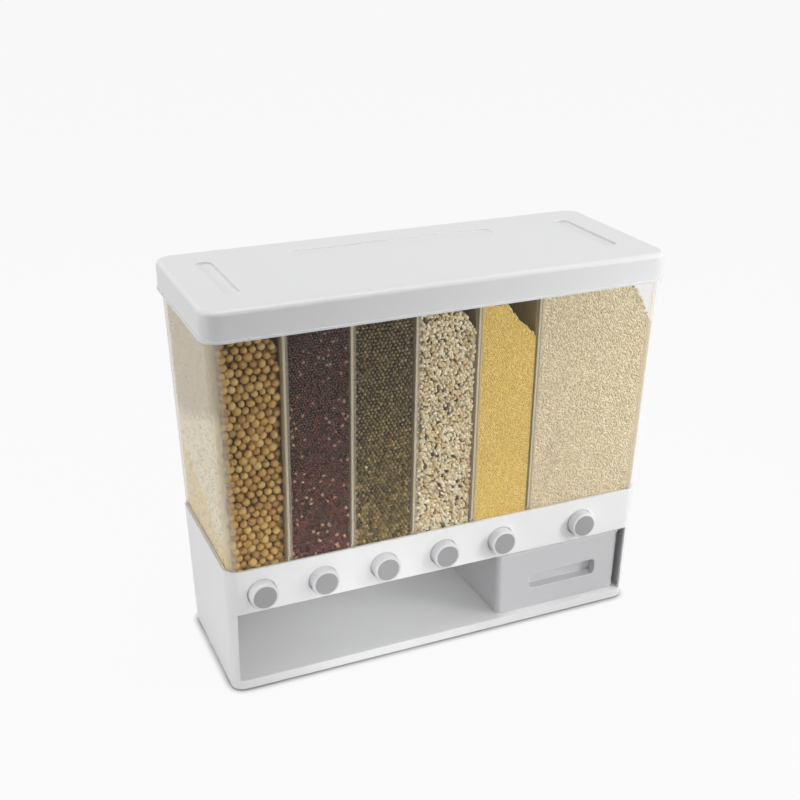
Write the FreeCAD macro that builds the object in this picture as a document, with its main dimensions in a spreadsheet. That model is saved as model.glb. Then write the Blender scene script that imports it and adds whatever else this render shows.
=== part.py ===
"""Six-compartment grain dispenser: lid, clear hopper with dividers, push-button gates, white base and cup.

Units are millimetres. X is the width, the front faces -Y and Z is up from the floor.
"""

import FreeCAD, Part
import math
import os
import re
import Sketcher

# Driving dimensions: name, value and what it measures.
SIZES = [
    ("foot_stand", 1.5, "height that the feet hold the base off the floor"),
    ("foot_width", 24.0, "rubber foot across"),
    ("foot_length", 12.0, "rubber foot front to back"),
    ("foot_depth", 1.7, "part of a foot that sits in its socket"),
    ("foot_inset", 20.0, "foot centre in from the base's side and front at its underside"),
    ("socket_clearance", 0.2, "gap round a foot in its socket"),
    ("socket_wall", 1.8, "wall of a foot socket"),
    ("base_height", 111.0, "base from its underside to its rim"),
    ("base_width_low", 365.3, "base at its underside"),
    ("base_depth_low", 125.6, "base at its underside"),
    ("base_width_top", 370.2, "base at its rim"),
    ("base_depth_top", 134.8, "base at its rim"),
    ("base_corner", 10.0, "upright corner radius of the base"),
    ("base_wall", 2.4, "base side walls"),
    ("floor_height", 8.0, "alcove floor above the base's underside"),
    ("floor_wall", 2.4, "thickness of the alcove floor"),
    ("opening_width", 354.6, "alcove opening in the front wall"),
    ("opening_height", 64.0, "alcove opening above the floor"),
    ("button_height", 88.8, "button axis above the base's underside"),
    ("button_reach", 8.2, "how far a button stands out of the front wall"),
    ("button_diameter", 22.8, "push button"),
    ("button_length", 13.5, "cap of a button along its travel"),
    ("button_wall", 1.8, "face of a button's cap"),
    ("button_hollow", 14.0, "square hollow behind a button's face, which holds the spring"),
    ("button_travel", 10.5, "full press of a button"),
    ("hole_clearance", 0.6, "gap between a button and its hole in the front wall"),
    ("slide_clearance", 0.3, "gap between a button and its square guide sleeve"),
    ("sleeve_wall", 1.5, "guide sleeve"),
    ("sleeve_length", 11.6, "guide sleeve along the travel"),
    ("stem_width", 6.0, "square stem behind a button"),
    ("stem_clearance", 0.2, "gap round the stem in its guide wall"),
    ("neck_width", 3.6, "square neck that the gate's lug hooks on"),
    ("stem_end", 1.8, "stem behind its neck"),
    ("guide_wall_back", 48.0, "rear face of the stem guide wall, forward of the middle"),
    ("guide_wall", 2.0, "stem guide wall"),
    ("lug_gap", 0.3, "gap from a gate's lug to the guide wall when released"),
    ("lug_thickness", 2.2, "lug of a gate"),
    ("lug_width", 14.0, "lug of a gate"),
    ("neck_play", 0.2, "play of the lug along and round the neck"),
    ("spring_diameter", 12.4, "return spring over its wire"),
    ("spring_wire", 0.9, "wire of a return spring"),
    ("spring_turns", 3.0, "turns of a return spring"),
    ("spring_gap", 0.2, "gap at each end of a return spring"),
    ("divider_pitch", 52.7, "equal compartments, divider to divider"),
    ("first_divider", 132.8, "first divider left of the middle"),
    ("first_cell_button", 24.1, "first button left of the first divider"),
    ("last_cell_button", 50.6, "last button right of the last divider"),
    ("divider_wall", 1.5, "divider panel"),
    ("divider_gap", 0.3, "gap from a divider to the hopper walls and ribs"),
    ("divider_drop", 9.0, "divider's top edge below the hopper's rim"),
    ("rib_wall", 1.2, "guide rib beside a divider"),
    ("rib_depth", 4.0, "guide rib out of the hopper wall"),
    ("deck_gap", 1.8, "valve deck above the top of the opening"),
    ("deck_wall", 2.4, "valve deck plate"),
    ("deck_gap_side", 2.1, "gap round the valve deck, which goes in past the upper ledge"),
    ("deck_ledge", 4.4, "lower ledge, out of the base's walls"),
    ("funnel_gap_side", 0.3, "gap round the funnel deck inside the base"),
    ("funnel_ledge", 2.6, "upper ledge, out of the base's walls"),
    ("ledge_height", 2.5, "both ledges"),
    ("slot_width", 32.0, "outlet slot across"),
    ("slot_length", 9.0, "outlet slot front to back"),
    ("slot_height", 82.5, "lower edge of an outlet above the base's underside"),
    ("funnel_wall", 1.8, "funnel walls"),
    ("funnel_edge", 1.5, "funnel mouth in from a divider's middle"),
    ("funnel_front", 45.0, "front edge of a funnel mouth, forward of the middle"),
    ("funnel_plate", 2.0, "plate of the funnel deck"),
    ("gate_width", 38.0, "gate plate across"),
    ("gate_wall", 2.4, "gate plate"),
    ("gate_gap", 0.2, "running gap over and under a gate"),
    ("gate_side_gap", 0.3, "running gap beside a gate"),
    ("gate_tail", 11.0, "rear edge of a released gate behind the middle"),
    ("rail_width", 2.6, "shelf that carries a gate's edge"),
    ("guide_width", 1.5, "fence beside a gate"),
    ("rail_front", 38.0, "front end of the rails, forward of the middle"),
    ("rail_back", 25.0, "rear end of the rails behind the middle"),
    ("chute_wall", 1.5, "chute under an outlet"),
    ("chute_margin", 1.0, "chute wider than the outlet slot, each way"),
    ("chute_drop", 2.0, "chute below the valve deck"),
    ("screw_diameter", 3.0, "deck screw"),
    ("screw_depth", 4.7, "screw below the valve deck"),
    ("screw_head", 6.0, "hexagonal head of a deck screw, over its corners"),
    ("screw_head_height", 2.0, "deck screw head"),
    ("screw_clearance", 0.2, "gap round a screw in the deck"),
    ("screw_grip", 0.05, "gap round a screw in its boss"),
    ("boss_width", 9.0, "square screw boss"),
    ("boss_height", 5.2, "screw boss under the valve deck"),
    ("boss_inset", 6.0, "screw centre in from the base's inner wall"),
    ("screw_back", 36.0, "deck screws behind the middle"),
    ("hopper_width_low", 368.6, "hopper on the base's rim"),
    ("hopper_depth_low", 133.2, "hopper on the base's rim"),
    ("hopper_width_top", 378.8, "hopper at its rim"),
    ("hopper_depth_top", 147.6, "hopper at its rim"),
    ("hopper_height", 208.0, "hopper above the base's rim"),
    ("hopper_wall", 2.0, "hopper walls"),
    ("hopper_corner", 11.5, "upright corner radius of the hopper"),
    ("spigot_depth", 6.2, "hopper's spigot inside the base"),
    ("spigot_clearance", 0.4, "gap round the spigot"),
    ("spigot_seat", 0.2, "gap between the spigot and the funnel deck"),
    ("lid_height", 23.5, "lid over its skirt"),
    ("lid_overlap", 17.6, "hopper's rim above the lid's lower edge"),
    ("lid_clearance", 0.6, "gap between the hopper's rim and the skirt"),
    ("lid_wall", 2.2, "lid's skirt"),
    ("lid_plate", 2.4, "lid's top plate"),
    ("lid_round", 3.9, "radius of the lid's top edge"),
    ("lid_corner", 14.5, "upright corner radius of the lid"),
    ("lip_reach", 0.8, "bead round the lid's lower edge, outwards"),
    ("lip_height", 2.0, "bead round the lid's lower edge"),
    ("seal_width", 4.6, "seal ring"),
    ("seal_gap", 0.1, "gap from the seal to the hopper's rim and the lid"),
    ("grip_inset", 32.7, "middle of a finger grip in from the lid's side"),
    ("grip_width", 13.0, "finger grip in the lid"),
    ("grip_length", 86.0, "finger grip in the lid"),
    ("grip_shift", 3.0, "finger grips behind the lid's middle"),
    ("grip_depth", 2.0, "finger grip in the lid"),
    ("grip_corner", 6.0, "corner radius of a finger grip"),
    ("groove_inset", 37.6, "middle of the rear recess in from the lid's back"),
    ("groove_width", 18.0, "rear recess of the lid"),
    ("groove_length", 178.0, "rear recess of the lid"),
    ("groove_depth", 1.2, "rear recess of the lid"),
    ("groove_corner", 6.5, "corner radius of the rear recess"),
    ("cup_middle", 114.45, "cup right of the middle"),
    ("cup_front", 58.0, "foot of the cup's front, forward of the middle"),
    ("cup_width", 118.8, "cup at its foot"),
    ("cup_depth", 109.0, "cup at its foot"),
    ("cup_height", 60.0, "cup"),
    ("cup_spread", 1.5, "cup wider at its rim than its foot, each side"),
    ("cup_corner", 5.0, "upright corner radius of the cup"),
    ("cup_wall", 1.8, "cup walls"),
    ("cup_rim", 1.2, "bead round the cup's rim, outwards"),
    ("cup_rim_height", 2.2, "bead round the cup's rim"),
    ("cup_gap", 0.2, "gap under the cup"),
    ("pull_width", 66.0, "finger recess in the cup's front"),
    ("pull_height", 15.0, "finger recess in the cup's front"),
    ("pull_corner", 4.0, "corner radius of the finger recess"),
    ("pull_rise", 26.6, "middle of the finger recess above the cup's foot"),
    ("pull_shift", 4.85, "finger recess right of the cup's middle"),
    ("pull_depth", 9.0, "finger recess"),
]

DIVIDERS = 5
BUTTONS = DIVIDERS + 1

doc = FreeCAD.newDocument("grain_dispenser")
sheet = doc.addObject("Spreadsheet::Sheet", "sizes")
for row, (alias, number, note) in enumerate(SIZES, start=1):
    sheet.set("A%d" % row, alias)
    sheet.set("B%d" % row, str(number))
    sheet.set("C%d" % row, note)
    sheet.setAlias("B%d" % row, alias)
doc.recompute()
SHEET_NAMES = {alias: "sizes." + alias for alias, number, note in SIZES}

# Heights and half sizes that several pieces share, as formulas of the driving dimensions.
BASE_TOP = "(foot_stand + base_height)"
FLOOR_TOP = "(foot_stand + floor_height)"
OPENING_TOP = "(foot_stand + floor_height + opening_height)"
BUTTON_Z = "(foot_stand + button_height)"
DECK_BOTTOM = "(foot_stand + floor_height + opening_height + deck_gap)"
DECK_TOP = "(foot_stand + floor_height + opening_height + deck_gap + deck_wall)"
SLOT_Z = "(foot_stand + slot_height)"
GATE_TOP = "(foot_stand + slot_height - gate_gap)"
GATE_BOTTOM = "(foot_stand + slot_height - gate_gap - gate_wall)"
RAIL_TOP = "(foot_stand + slot_height - 2 * gate_gap - gate_wall)"
SPIGOT_BOTTOM = "(foot_stand + base_height - spigot_depth)"
FUNNEL_TOP = "(foot_stand + base_height - spigot_depth - spigot_seat)"
FUNNEL_BOTTOM = "(foot_stand + base_height - spigot_depth - spigot_seat - funnel_plate)"
HOPPER_TOP = "(foot_stand + base_height + hopper_height)"
LID_BOTTOM = "(foot_stand + base_height + hopper_height - lid_overlap)"
LID_TOP = "(foot_stand + base_height + hopper_height - lid_overlap + lid_height)"
SKIRT_WIDTH = "(hopper_width_top + 2 * lid_clearance + 2 * lid_wall)"
SKIRT_DEPTH = "(hopper_depth_top + 2 * lid_clearance + 2 * lid_wall)"
GUIDE_FRONT = "(guide_wall_back + guide_wall)"
LUG_FRONT = "(guide_wall_back - lug_gap)"


def bound(formula):
    """The formula with each driving dimension named as a cell of the sheet."""
    return re.sub(r"[a-z_]+", lambda word: SHEET_NAMES.get(word.group(0), word.group(0)), formula)


def value(formula):
    """The formula's present value in millimetres."""
    return float(sheet.evalExpression(formula))


def base_half(side, height, inwards="0"):
    """Half the base's width or depth at a height above the floor, less a distance inwards."""
    low = "base_%s_low" % side
    top = "base_%s_top" % side
    slope = "(%s - %s) / 2 * (%s - foot_stand) / base_height" % (top, low, height)
    return "(%s / 2 + %s - %s)" % (low, slope, inwards)


def hopper_half(side, height, inwards="0"):
    """Half the hopper's width or depth at a height above the floor, less a distance inwards."""
    low = "hopper_%s_low" % side
    top = "hopper_%s_top" % side
    slope = "(%s - %s) / 2 * (%s - %s) / hopper_height" % (top, low, height, BASE_TOP)
    return "(%s / 2 + %s - %s)" % (low, slope, inwards)


def divider_x(index):
    """Middle of a divider, counted from 0 at the left."""
    return "(-first_divider + %d * divider_pitch)" % index


def button_x(index):
    """Axis of a button, counted from 0 at the left: inner ones stand in the middle of their compartments."""
    if index == 0:
        return "(-first_divider - first_cell_button)"
    if index == BUTTONS - 1:
        return "(%s + last_cell_button)" % divider_x(DIVIDERS - 1)
    return "(%s + divider_pitch / 2)" % divider_x(index - 1)


def new_body(label):
    """An empty body whose label names its file."""
    piece = doc.addObject("PartDesign::Body", label)
    piece.Label = label
    return piece


def origin_feature(piece, role):
    """One of the body's own origin planes or axes."""
    return [item for item in piece.Origin.OriginFeatures if item.Role == role][0]


def new_sketch(piece, role, offset="0"):
    """A sketch on an origin plane of the body, moved along the plane's normal by a formula."""
    sketch = piece.newObject("Sketcher::SketchObject", piece.Label + "_sketch")
    sketch.AttachmentSupport = [(origin_feature(piece, role), "")]
    sketch.MapMode = "FlatFace"
    sketch.setExpression("AttachmentOffset.Base.z", bound(offset))
    return sketch


def pin(sketch, kind, geometry, point, formula):
    """Holds one coordinate of a point at a formula's value."""
    number = sketch.addConstraint(Sketcher.Constraint(kind, -1, 1, geometry, point, value(formula)))
    sketch.setExpression("Constraints[%d]" % number, bound(formula))


def outline(sketch, corners):
    """A closed outline through corners whose coordinates are formulas."""
    places = [FreeCAD.Vector(value(x), value(y), 0) for x, y in corners]
    first = sketch.GeometryCount
    count = len(places)
    for index in range(count):
        sketch.addGeometry(Part.LineSegment(places[index], places[(index + 1) % count]), False)
    for index in range(count):
        follower = first + (index + 1) % count
        sketch.addConstraint(Sketcher.Constraint("Coincident", first + index, 2, follower, 1))
    for index, (x, y) in enumerate(corners):
        pin(sketch, "DistanceX", first + index, 1, x)
        pin(sketch, "DistanceY", first + index, 1, y)


def rectangle(sketch, left, right, low, high):
    """A rectangle between four formulas."""
    outline(sketch, [(left, low), (right, low), (right, high), (left, high)])


def rounded_rectangle(sketch, left, right, low, high, corner):
    """A rectangle between four formulas with rounded corners."""
    x0, x1, y0, y1, r = (value(formula) for formula in (left, right, low, high, corner))
    first = sketch.GeometryCount
    normal = FreeCAD.Vector(0, 0, 1)
    quarter = math.pi / 2
    lines = [
        (FreeCAD.Vector(x0 + r, y0, 0), FreeCAD.Vector(x1 - r, y0, 0)),
        (FreeCAD.Vector(x1, y0 + r, 0), FreeCAD.Vector(x1, y1 - r, 0)),
        (FreeCAD.Vector(x1 - r, y1, 0), FreeCAD.Vector(x0 + r, y1, 0)),
        (FreeCAD.Vector(x0, y1 - r, 0), FreeCAD.Vector(x0, y0 + r, 0)),
    ]
    centres = [(x1 - r, y0 + r), (x1 - r, y1 - r), (x0 + r, y1 - r), (x0 + r, y0 + r)]
    for side, (line, (x, y)) in enumerate(zip(lines, centres)):
        sketch.addGeometry(Part.LineSegment(*line), False)
        circle = Part.Circle(FreeCAD.Vector(x, y, 0), normal, r)
        sketch.addGeometry(Part.ArcOfCircle(circle, (side - 1) * quarter, side * quarter), False)
    for index in range(8):
        follower = first + (index + 1) % 8
        sketch.addConstraint(Sketcher.Constraint("Tangent", first + index, 2, follower, 1))
    sketch.addConstraint(Sketcher.Constraint("Horizontal", first))
    sketch.addConstraint(Sketcher.Constraint("Vertical", first + 2))
    sketch.addConstraint(Sketcher.Constraint("Horizontal", first + 4))
    sketch.addConstraint(Sketcher.Constraint("Vertical", first + 6))
    for arc in (3, 5, 7):
        sketch.addConstraint(Sketcher.Constraint("Equal", first + 1, first + arc))
    number = sketch.addConstraint(Sketcher.Constraint("Radius", first + 1, r))
    sketch.setExpression("Constraints[%d]" % number, bound(corner))
    pin(sketch, "DistanceY", first, 1, low)
    pin(sketch, "DistanceX", first + 2, 1, right)
    pin(sketch, "DistanceY", first + 4, 1, high)
    pin(sketch, "DistanceX", first + 6, 1, left)


def centred_rounded(sketch, half_width, half_depth, corner):
    """A rounded rectangle about the sketch's origin."""
    rounded_rectangle(sketch, "-" + half_width, half_width, "-" + half_depth, half_depth, corner)


def circle_at(sketch, x, y, diameter):
    """A circle placed and sized by formulas."""
    centre = FreeCAD.Vector(value(x), value(y), 0)
    number = sketch.addGeometry(Part.Circle(centre, FreeCAD.Vector(0, 0, 1), value(diameter) / 2), False)
    pin(sketch, "DistanceX", number, 3, x)
    pin(sketch, "DistanceY", number, 3, y)
    size = sketch.addConstraint(Sketcher.Constraint("Diameter", number, value(diameter)))
    sketch.setExpression("Constraints[%d]" % size, bound(diameter))


def pad(piece, sketch, length, reverse=False):
    """Material along the sketch's normal, or against it."""
    feature = piece.newObject("PartDesign::Pad", piece.Label + "_pad")
    feature.Profile = sketch
    feature.setExpression("Length", bound(length))
    feature.Reversed = reverse
    return feature


def pocket(piece, sketch, length, along=False):
    """A cut against the sketch's normal, or along it."""
    feature = piece.newObject("PartDesign::Pocket", piece.Label + "_pocket")
    feature.Profile = sketch
    feature.setExpression("Length", bound(length))
    feature.Reversed = along
    return feature


def wedge(piece, kind, bottom, top, low, high):
    """A block with flat slanting sides between two heights, added or cut.

    Its lower and upper rectangles are given as formulas for left, right, front and back.
    """
    feature = piece.newObject("PartDesign::%sWedge" % kind, piece.Label + "_block")
    feature.AttachmentSupport = [(origin_feature(piece, "XY_Plane"), "")]
    feature.MapMode = "FlatFace"
    upright = FreeCAD.Rotation(FreeCAD.Vector(1, 0, 0), 90)
    feature.AttachmentOffset = FreeCAD.Placement(FreeCAD.Vector(), upright)
    feature.setExpression("Ymin", bound(bottom))
    feature.setExpression("Ymax", bound(top))
    for level, (left, right, front, back) in (("", low), ("2", high)):
        feature.setExpression("X%smin" % level, bound(left))
        feature.setExpression("X%smax" % level, bound(right))
        feature.setExpression("Z%smin" % level, bound("-(%s)" % back))
        feature.setExpression("Z%smax" % level, bound("-(%s)" % front))
    doc.recompute()
    return feature


def centred(half_width, half_depth):
    """Left, right, front and back of a rectangle about the middle."""
    return ("-" + half_width, half_width, "-" + half_depth, half_depth)


def named_edges(feature):
    """Each edge of a feature's shape with its name."""
    return [("Edge%d" % number, edge) for number, edge in enumerate(feature.Shape.Edges, start=1)]


def corner_names(feature):
    """Edges that rise between two flat sides, the ones nearest the middle first."""
    middle = feature.Shape.BoundBox.Center
    found = []
    for name, edge in named_edges(feature):
        faces = feature.Shape.ancestorsOfType(edge, Part.Face)
        flat = all(face.Surface.TypeId == "Part::GeomPlane" for face in faces)
        if flat and edge.BoundBox.ZLength > edge.Length * math.cos(math.radians(30)):
            offset = edge.CenterOfMass - middle
            found.append((math.hypot(offset.x, offset.y), name))
    return [name for distance, name in sorted(found)]


def round_edges(piece, feature, names, radius):
    """Rounds the named edges of a feature."""
    rounding = piece.newObject("PartDesign::Fillet", piece.Label + "_round")
    rounding.Base = (feature, names)
    rounding.setExpression("Radius", bound(radius))
    doc.recompute()
    return rounding


def tray(piece, bottom, floor, top, level, corner, wall):
    """An open box with slanting walls and rounded corners; level gives its rectangle at a height."""
    wedge(piece, "Additive", bottom, top, level(bottom, "0"), level(top, "0"))
    hollow = wedge(piece, "Subtractive", floor, top, level(floor, wall), level(top, wall))
    inside = round_edges(piece, hollow, corner_names(hollow)[:4], "(%s - %s)" % (corner, wall))
    return round_edges(piece, inside, corner_names(inside), corner)


def make_base_housing():
    """White base: tapered walls, floor, front strip with button holes, alcove opening and inner ledges."""
    piece = new_body("base_housing")
    inner_corner = "(base_corner - base_wall)"

    def level(height, inwards):
        """The base's rectangle at a height, less a distance inwards."""
        return centred(base_half("width", height, inwards), base_half("depth", height, inwards))

    tray(piece, "foot_stand", FLOOR_TOP, BASE_TOP, level, "base_corner", "base_wall")

    under = new_sketch(piece, "XY_Plane", "foot_stand")
    centred_rounded(under, base_half("width", "foot_stand", "base_wall"),
                    base_half("depth", "foot_stand", "base_wall"), inner_corner)
    pocket(piece, under, "floor_height - floor_wall", along=True)

    sockets = new_sketch(piece, "XY_Plane", FLOOR_TOP + " - floor_wall / 2")
    for place in foot_places():
        rectangle(sockets, *foot_sides(place, "(socket_clearance + socket_wall)"))
    pad(piece, sockets, "floor_height - floor_wall / 2", reverse=True)
    seats = new_sketch(piece, "XY_Plane", "foot_stand")
    for place in foot_places():
        rectangle(seats, *foot_sides(place, "socket_clearance"))
    pocket(piece, seats, "foot_depth", along=True)

    add_ledges(piece)

    front_clear = "(base_depth_top / 2 + 5)"
    opening = new_sketch(piece, "XZ_Plane", front_clear)
    rectangle(opening, "-opening_width / 2", "opening_width / 2", FLOOR_TOP, OPENING_TOP)
    pocket(piece, opening, "5 + (base_depth_top - base_depth_low) / 2 + base_wall + 2")

    bosses = new_sketch(piece, "XY_Plane", DECK_BOTTOM)
    half = "(boss_width / 2)"
    wall = base_half("width", DECK_BOTTOM, "base_wall / 2")
    (left, y), (right, y) = screw_places()
    for ends in (("-" + wall, "%s + %s" % (left, half)), ("%s - %s" % (right, half), wall)):
        rectangle(bosses, *ends, "%s - %s" % (y, half), "%s + %s" % (y, half))
    pad(piece, bosses, "boss_height", reverse=True)
    bores = new_sketch(piece, "XY_Plane", DECK_BOTTOM)
    for x, y in screw_places():
        circle_at(bores, x, y, "screw_diameter + 2 * screw_grip")
    pocket(piece, bores, "boss_height")

    holes = new_sketch(piece, "XZ_Plane", front_clear)
    for index in range(BUTTONS):
        circle_at(holes, button_x(index), BUTTON_Z, "button_diameter + 2 * hole_clearance")
    pocket(piece, holes, "5 + (base_depth_top - base_depth_low) / 2 + base_wall + funnel_ledge")
    return piece


def foot_places():
    """Centres of the four feet."""
    x = "(base_width_low / 2 - foot_inset)"
    y = "(base_depth_low / 2 - foot_inset)"
    return [("-" + x, "-" + y), (x, "-" + y), ("-" + x, y), (x, y)]


def foot_sides(place, margin):
    """Left, right, front and back of one foot, grown by a margin each way."""
    x, y = place
    half = "(foot_width / 2 + %s)" % margin
    length = "(foot_length / 2 + %s)" % margin
    return ("%s - %s" % (x, half), "%s + %s" % (x, half), "%s - %s" % (y, length), "%s + %s" % (y, length))


def screw_places():
    """Centres of the two deck screws, one at each side."""
    side = base_half("width", DECK_BOTTOM, "base_wall - boss_inset")
    return [("-" + side, "screw_back"), (side, "screw_back")]


def add_ledges(piece):
    """Ledges inside the base: the lower at three sides for the valve deck, the upper all round."""
    for height, reach, sides in ((DECK_BOTTOM, "deck_ledge", 3), (FUNNEL_BOTTOM, "funnel_ledge", 4)):
        wide = base_half("width", height, "base_wall / 2")
        deep = base_half("depth", height, "base_wall / 2")
        inner_wide = base_half("width", height, "base_wall - " + reach)
        inner_deep = base_half("depth", height, "base_wall - " + reach)
        length = "(%s - base_corner)" % deep
        width = "(%s - base_corner)" % wide
        bars = [("-" + wide, "-" + inner_wide, "-" + length, length),
                (inner_wide, wide, "-" + length, length),
                ("-" + width, width, inner_deep, deep),
                ("-" + width, width, "-" + deep, "-" + inner_deep)]
        ledge = new_sketch(piece, "XY_Plane", height)
        for bar in bars[:sides]:
            rectangle(ledge, *bar)
        pad(piece, ledge, "ledge_height", reverse=True)


def make_valve_deck():
    """Deck over the alcove: guide sleeves, stem guide wall, gate rails and chutes."""
    piece = new_body("valve_deck")
    plate = new_sketch(piece, "XY_Plane", DECK_BOTTOM)
    centred_rounded(plate, base_half("width", DECK_BOTTOM, "base_wall - deck_gap_side"),
                    base_half("depth", DECK_BOTTOM, "base_wall - deck_gap_side"),
                    "(base_corner - base_wall - deck_gap_side)")
    pad(piece, plate, "deck_wall")

    wall = new_sketch(piece, "XY_Plane", DECK_BOTTOM + " + deck_wall / 2")
    reach = base_half("width", DECK_BOTTOM, "base_wall - deck_gap_side")
    sleeve_half = "(button_diameter / 2 + slide_clearance + sleeve_wall)"
    rectangle(wall, "-" + reach, reach, "-" + GUIDE_FRONT, "-guide_wall_back")
    pad(piece, wall, BUTTON_Z + " + " + sleeve_half + " - " + DECK_BOTTOM + " - deck_wall / 2")

    sleeves = new_sketch(piece, "XZ_Plane", GUIDE_FRONT + " + sleeve_length")
    for index in range(BUTTONS):
        rectangle(sleeves, *square_at(index, sleeve_half))
    pad(piece, sleeves, "sleeve_length + guide_wall / 2", reverse=True)

    add_rails(piece)

    chutes = new_sketch(piece, "XY_Plane", DECK_BOTTOM + " - chute_drop")
    for index in range(BUTTONS):
        rectangle(chutes, *slot_sides(index, "(chute_margin + chute_wall)"))
    pad(piece, chutes, RAIL_TOP + " - " + DECK_BOTTOM + " + chute_drop")

    bores = new_sketch(piece, "XZ_Plane", GUIDE_FRONT + " + sleeve_length")
    for index in range(BUTTONS):
        rectangle(bores, *square_at(index, "(button_diameter / 2 + slide_clearance)"))
    pocket(piece, bores, "sleeve_length")
    guides = new_sketch(piece, "XZ_Plane", GUIDE_FRONT)
    for index in range(BUTTONS):
        rectangle(guides, *square_at(index, "(stem_width / 2 + stem_clearance)"))
    pocket(piece, guides, "guide_wall")

    throats = new_sketch(piece, "XY_Plane", RAIL_TOP)
    for index in range(BUTTONS):
        rectangle(throats, *slot_sides(index, "chute_margin"))
    pocket(piece, throats, RAIL_TOP + " - " + DECK_BOTTOM + " + chute_drop")
    holes = new_sketch(piece, "XY_Plane", DECK_TOP)
    for x, y in screw_places():
        circle_at(holes, x, y, "screw_diameter + 2 * screw_clearance")
    pocket(piece, holes, "deck_wall")
    return piece


def square_at(index, half):
    """Left, right, foot and head of an upright square about one button's axis."""
    middle = button_x(index)
    return (middle + " - " + half, middle + " + " + half, BUTTON_Z + " - " + half, BUTTON_Z + " + " + half)


def slot_sides(index, margin):
    """Left, right, front and back of one outlet slot, grown by a margin each way."""
    middle = button_x(index)
    half = "(slot_width / 2 + %s)" % margin
    length = "(slot_length / 2 + %s)" % margin
    return (middle + " - " + half, middle + " + " + half, "-" + length, length)


def add_rails(piece):
    """Two stepped rails beside each gate: a shelf under its edge and a fence at its side."""
    shelves = new_sketch(piece, "XY_Plane", DECK_BOTTOM + " + deck_wall / 2")
    fences = new_sketch(piece, "XY_Plane", DECK_BOTTOM + " + deck_wall / 2")
    for index in range(BUTTONS):
        middle = button_x(index)
        edge = "(gate_width / 2 + gate_side_gap)"
        outer = "(gate_width / 2 + gate_side_gap + guide_width)"
        inner = "(gate_width / 2 + gate_side_gap - rail_width)"
        for left, right, sketch in (("-" + outer, "-" + inner, shelves), (inner, outer, shelves),
                                    ("-" + outer, "-" + edge, fences), (edge, outer, fences)):
            rectangle(sketch, middle + " + " + left, middle + " + " + right, "-rail_front", "rail_back")
    pad(piece, shelves, RAIL_TOP + " - " + DECK_BOTTOM + " - deck_wall / 2")
    pad(piece, fences, GATE_TOP + " - " + DECK_BOTTOM + " - deck_wall / 2")


def make_funnel_deck():
    """Floor of the hopper: a plate with one funnel per compartment down to its outlet slot."""
    piece = new_body("funnel_deck")
    plate = new_sketch(piece, "XY_Plane", FUNNEL_BOTTOM)
    centred_rounded(plate, base_half("width", FUNNEL_BOTTOM, "base_wall - funnel_gap_side"),
                    base_half("depth", FUNNEL_BOTTOM, "base_wall - funnel_gap_side"),
                    "(base_corner - base_wall - funnel_gap_side)")
    pad(piece, plate, "funnel_plate")
    for index in range(BUTTONS):
        wedge(piece, "Additive", SLOT_Z, FUNNEL_BOTTOM + " + funnel_plate / 2",
              slot_sides(index, "funnel_wall"), mouth_sides(index, "funnel_wall"))
    for index in range(BUTTONS):
        wedge(piece, "Subtractive", SLOT_Z, FUNNEL_TOP, slot_sides(index, "0"), mouth_sides(index, "0"))
    return piece


def mouth_sides(index, grow):
    """Left, right, front and back of a funnel's mouth, which runs from divider or wall to the next."""
    wall = base_half("width", SPIGOT_BOTTOM, "base_wall - spigot_clearance - hopper_wall - funnel_edge")
    back = base_half("depth", SPIGOT_BOTTOM, "base_wall - spigot_clearance - hopper_wall - funnel_edge")
    left = "-" + wall if index == 0 else divider_x(index - 1) + " + funnel_edge"
    right = wall if index == BUTTONS - 1 else divider_x(index) + " - funnel_edge"
    share = "(%s / 2)" % grow
    return (left + " - " + share, right + " + " + share, "-funnel_front - " + share, back + " + " + share)


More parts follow.
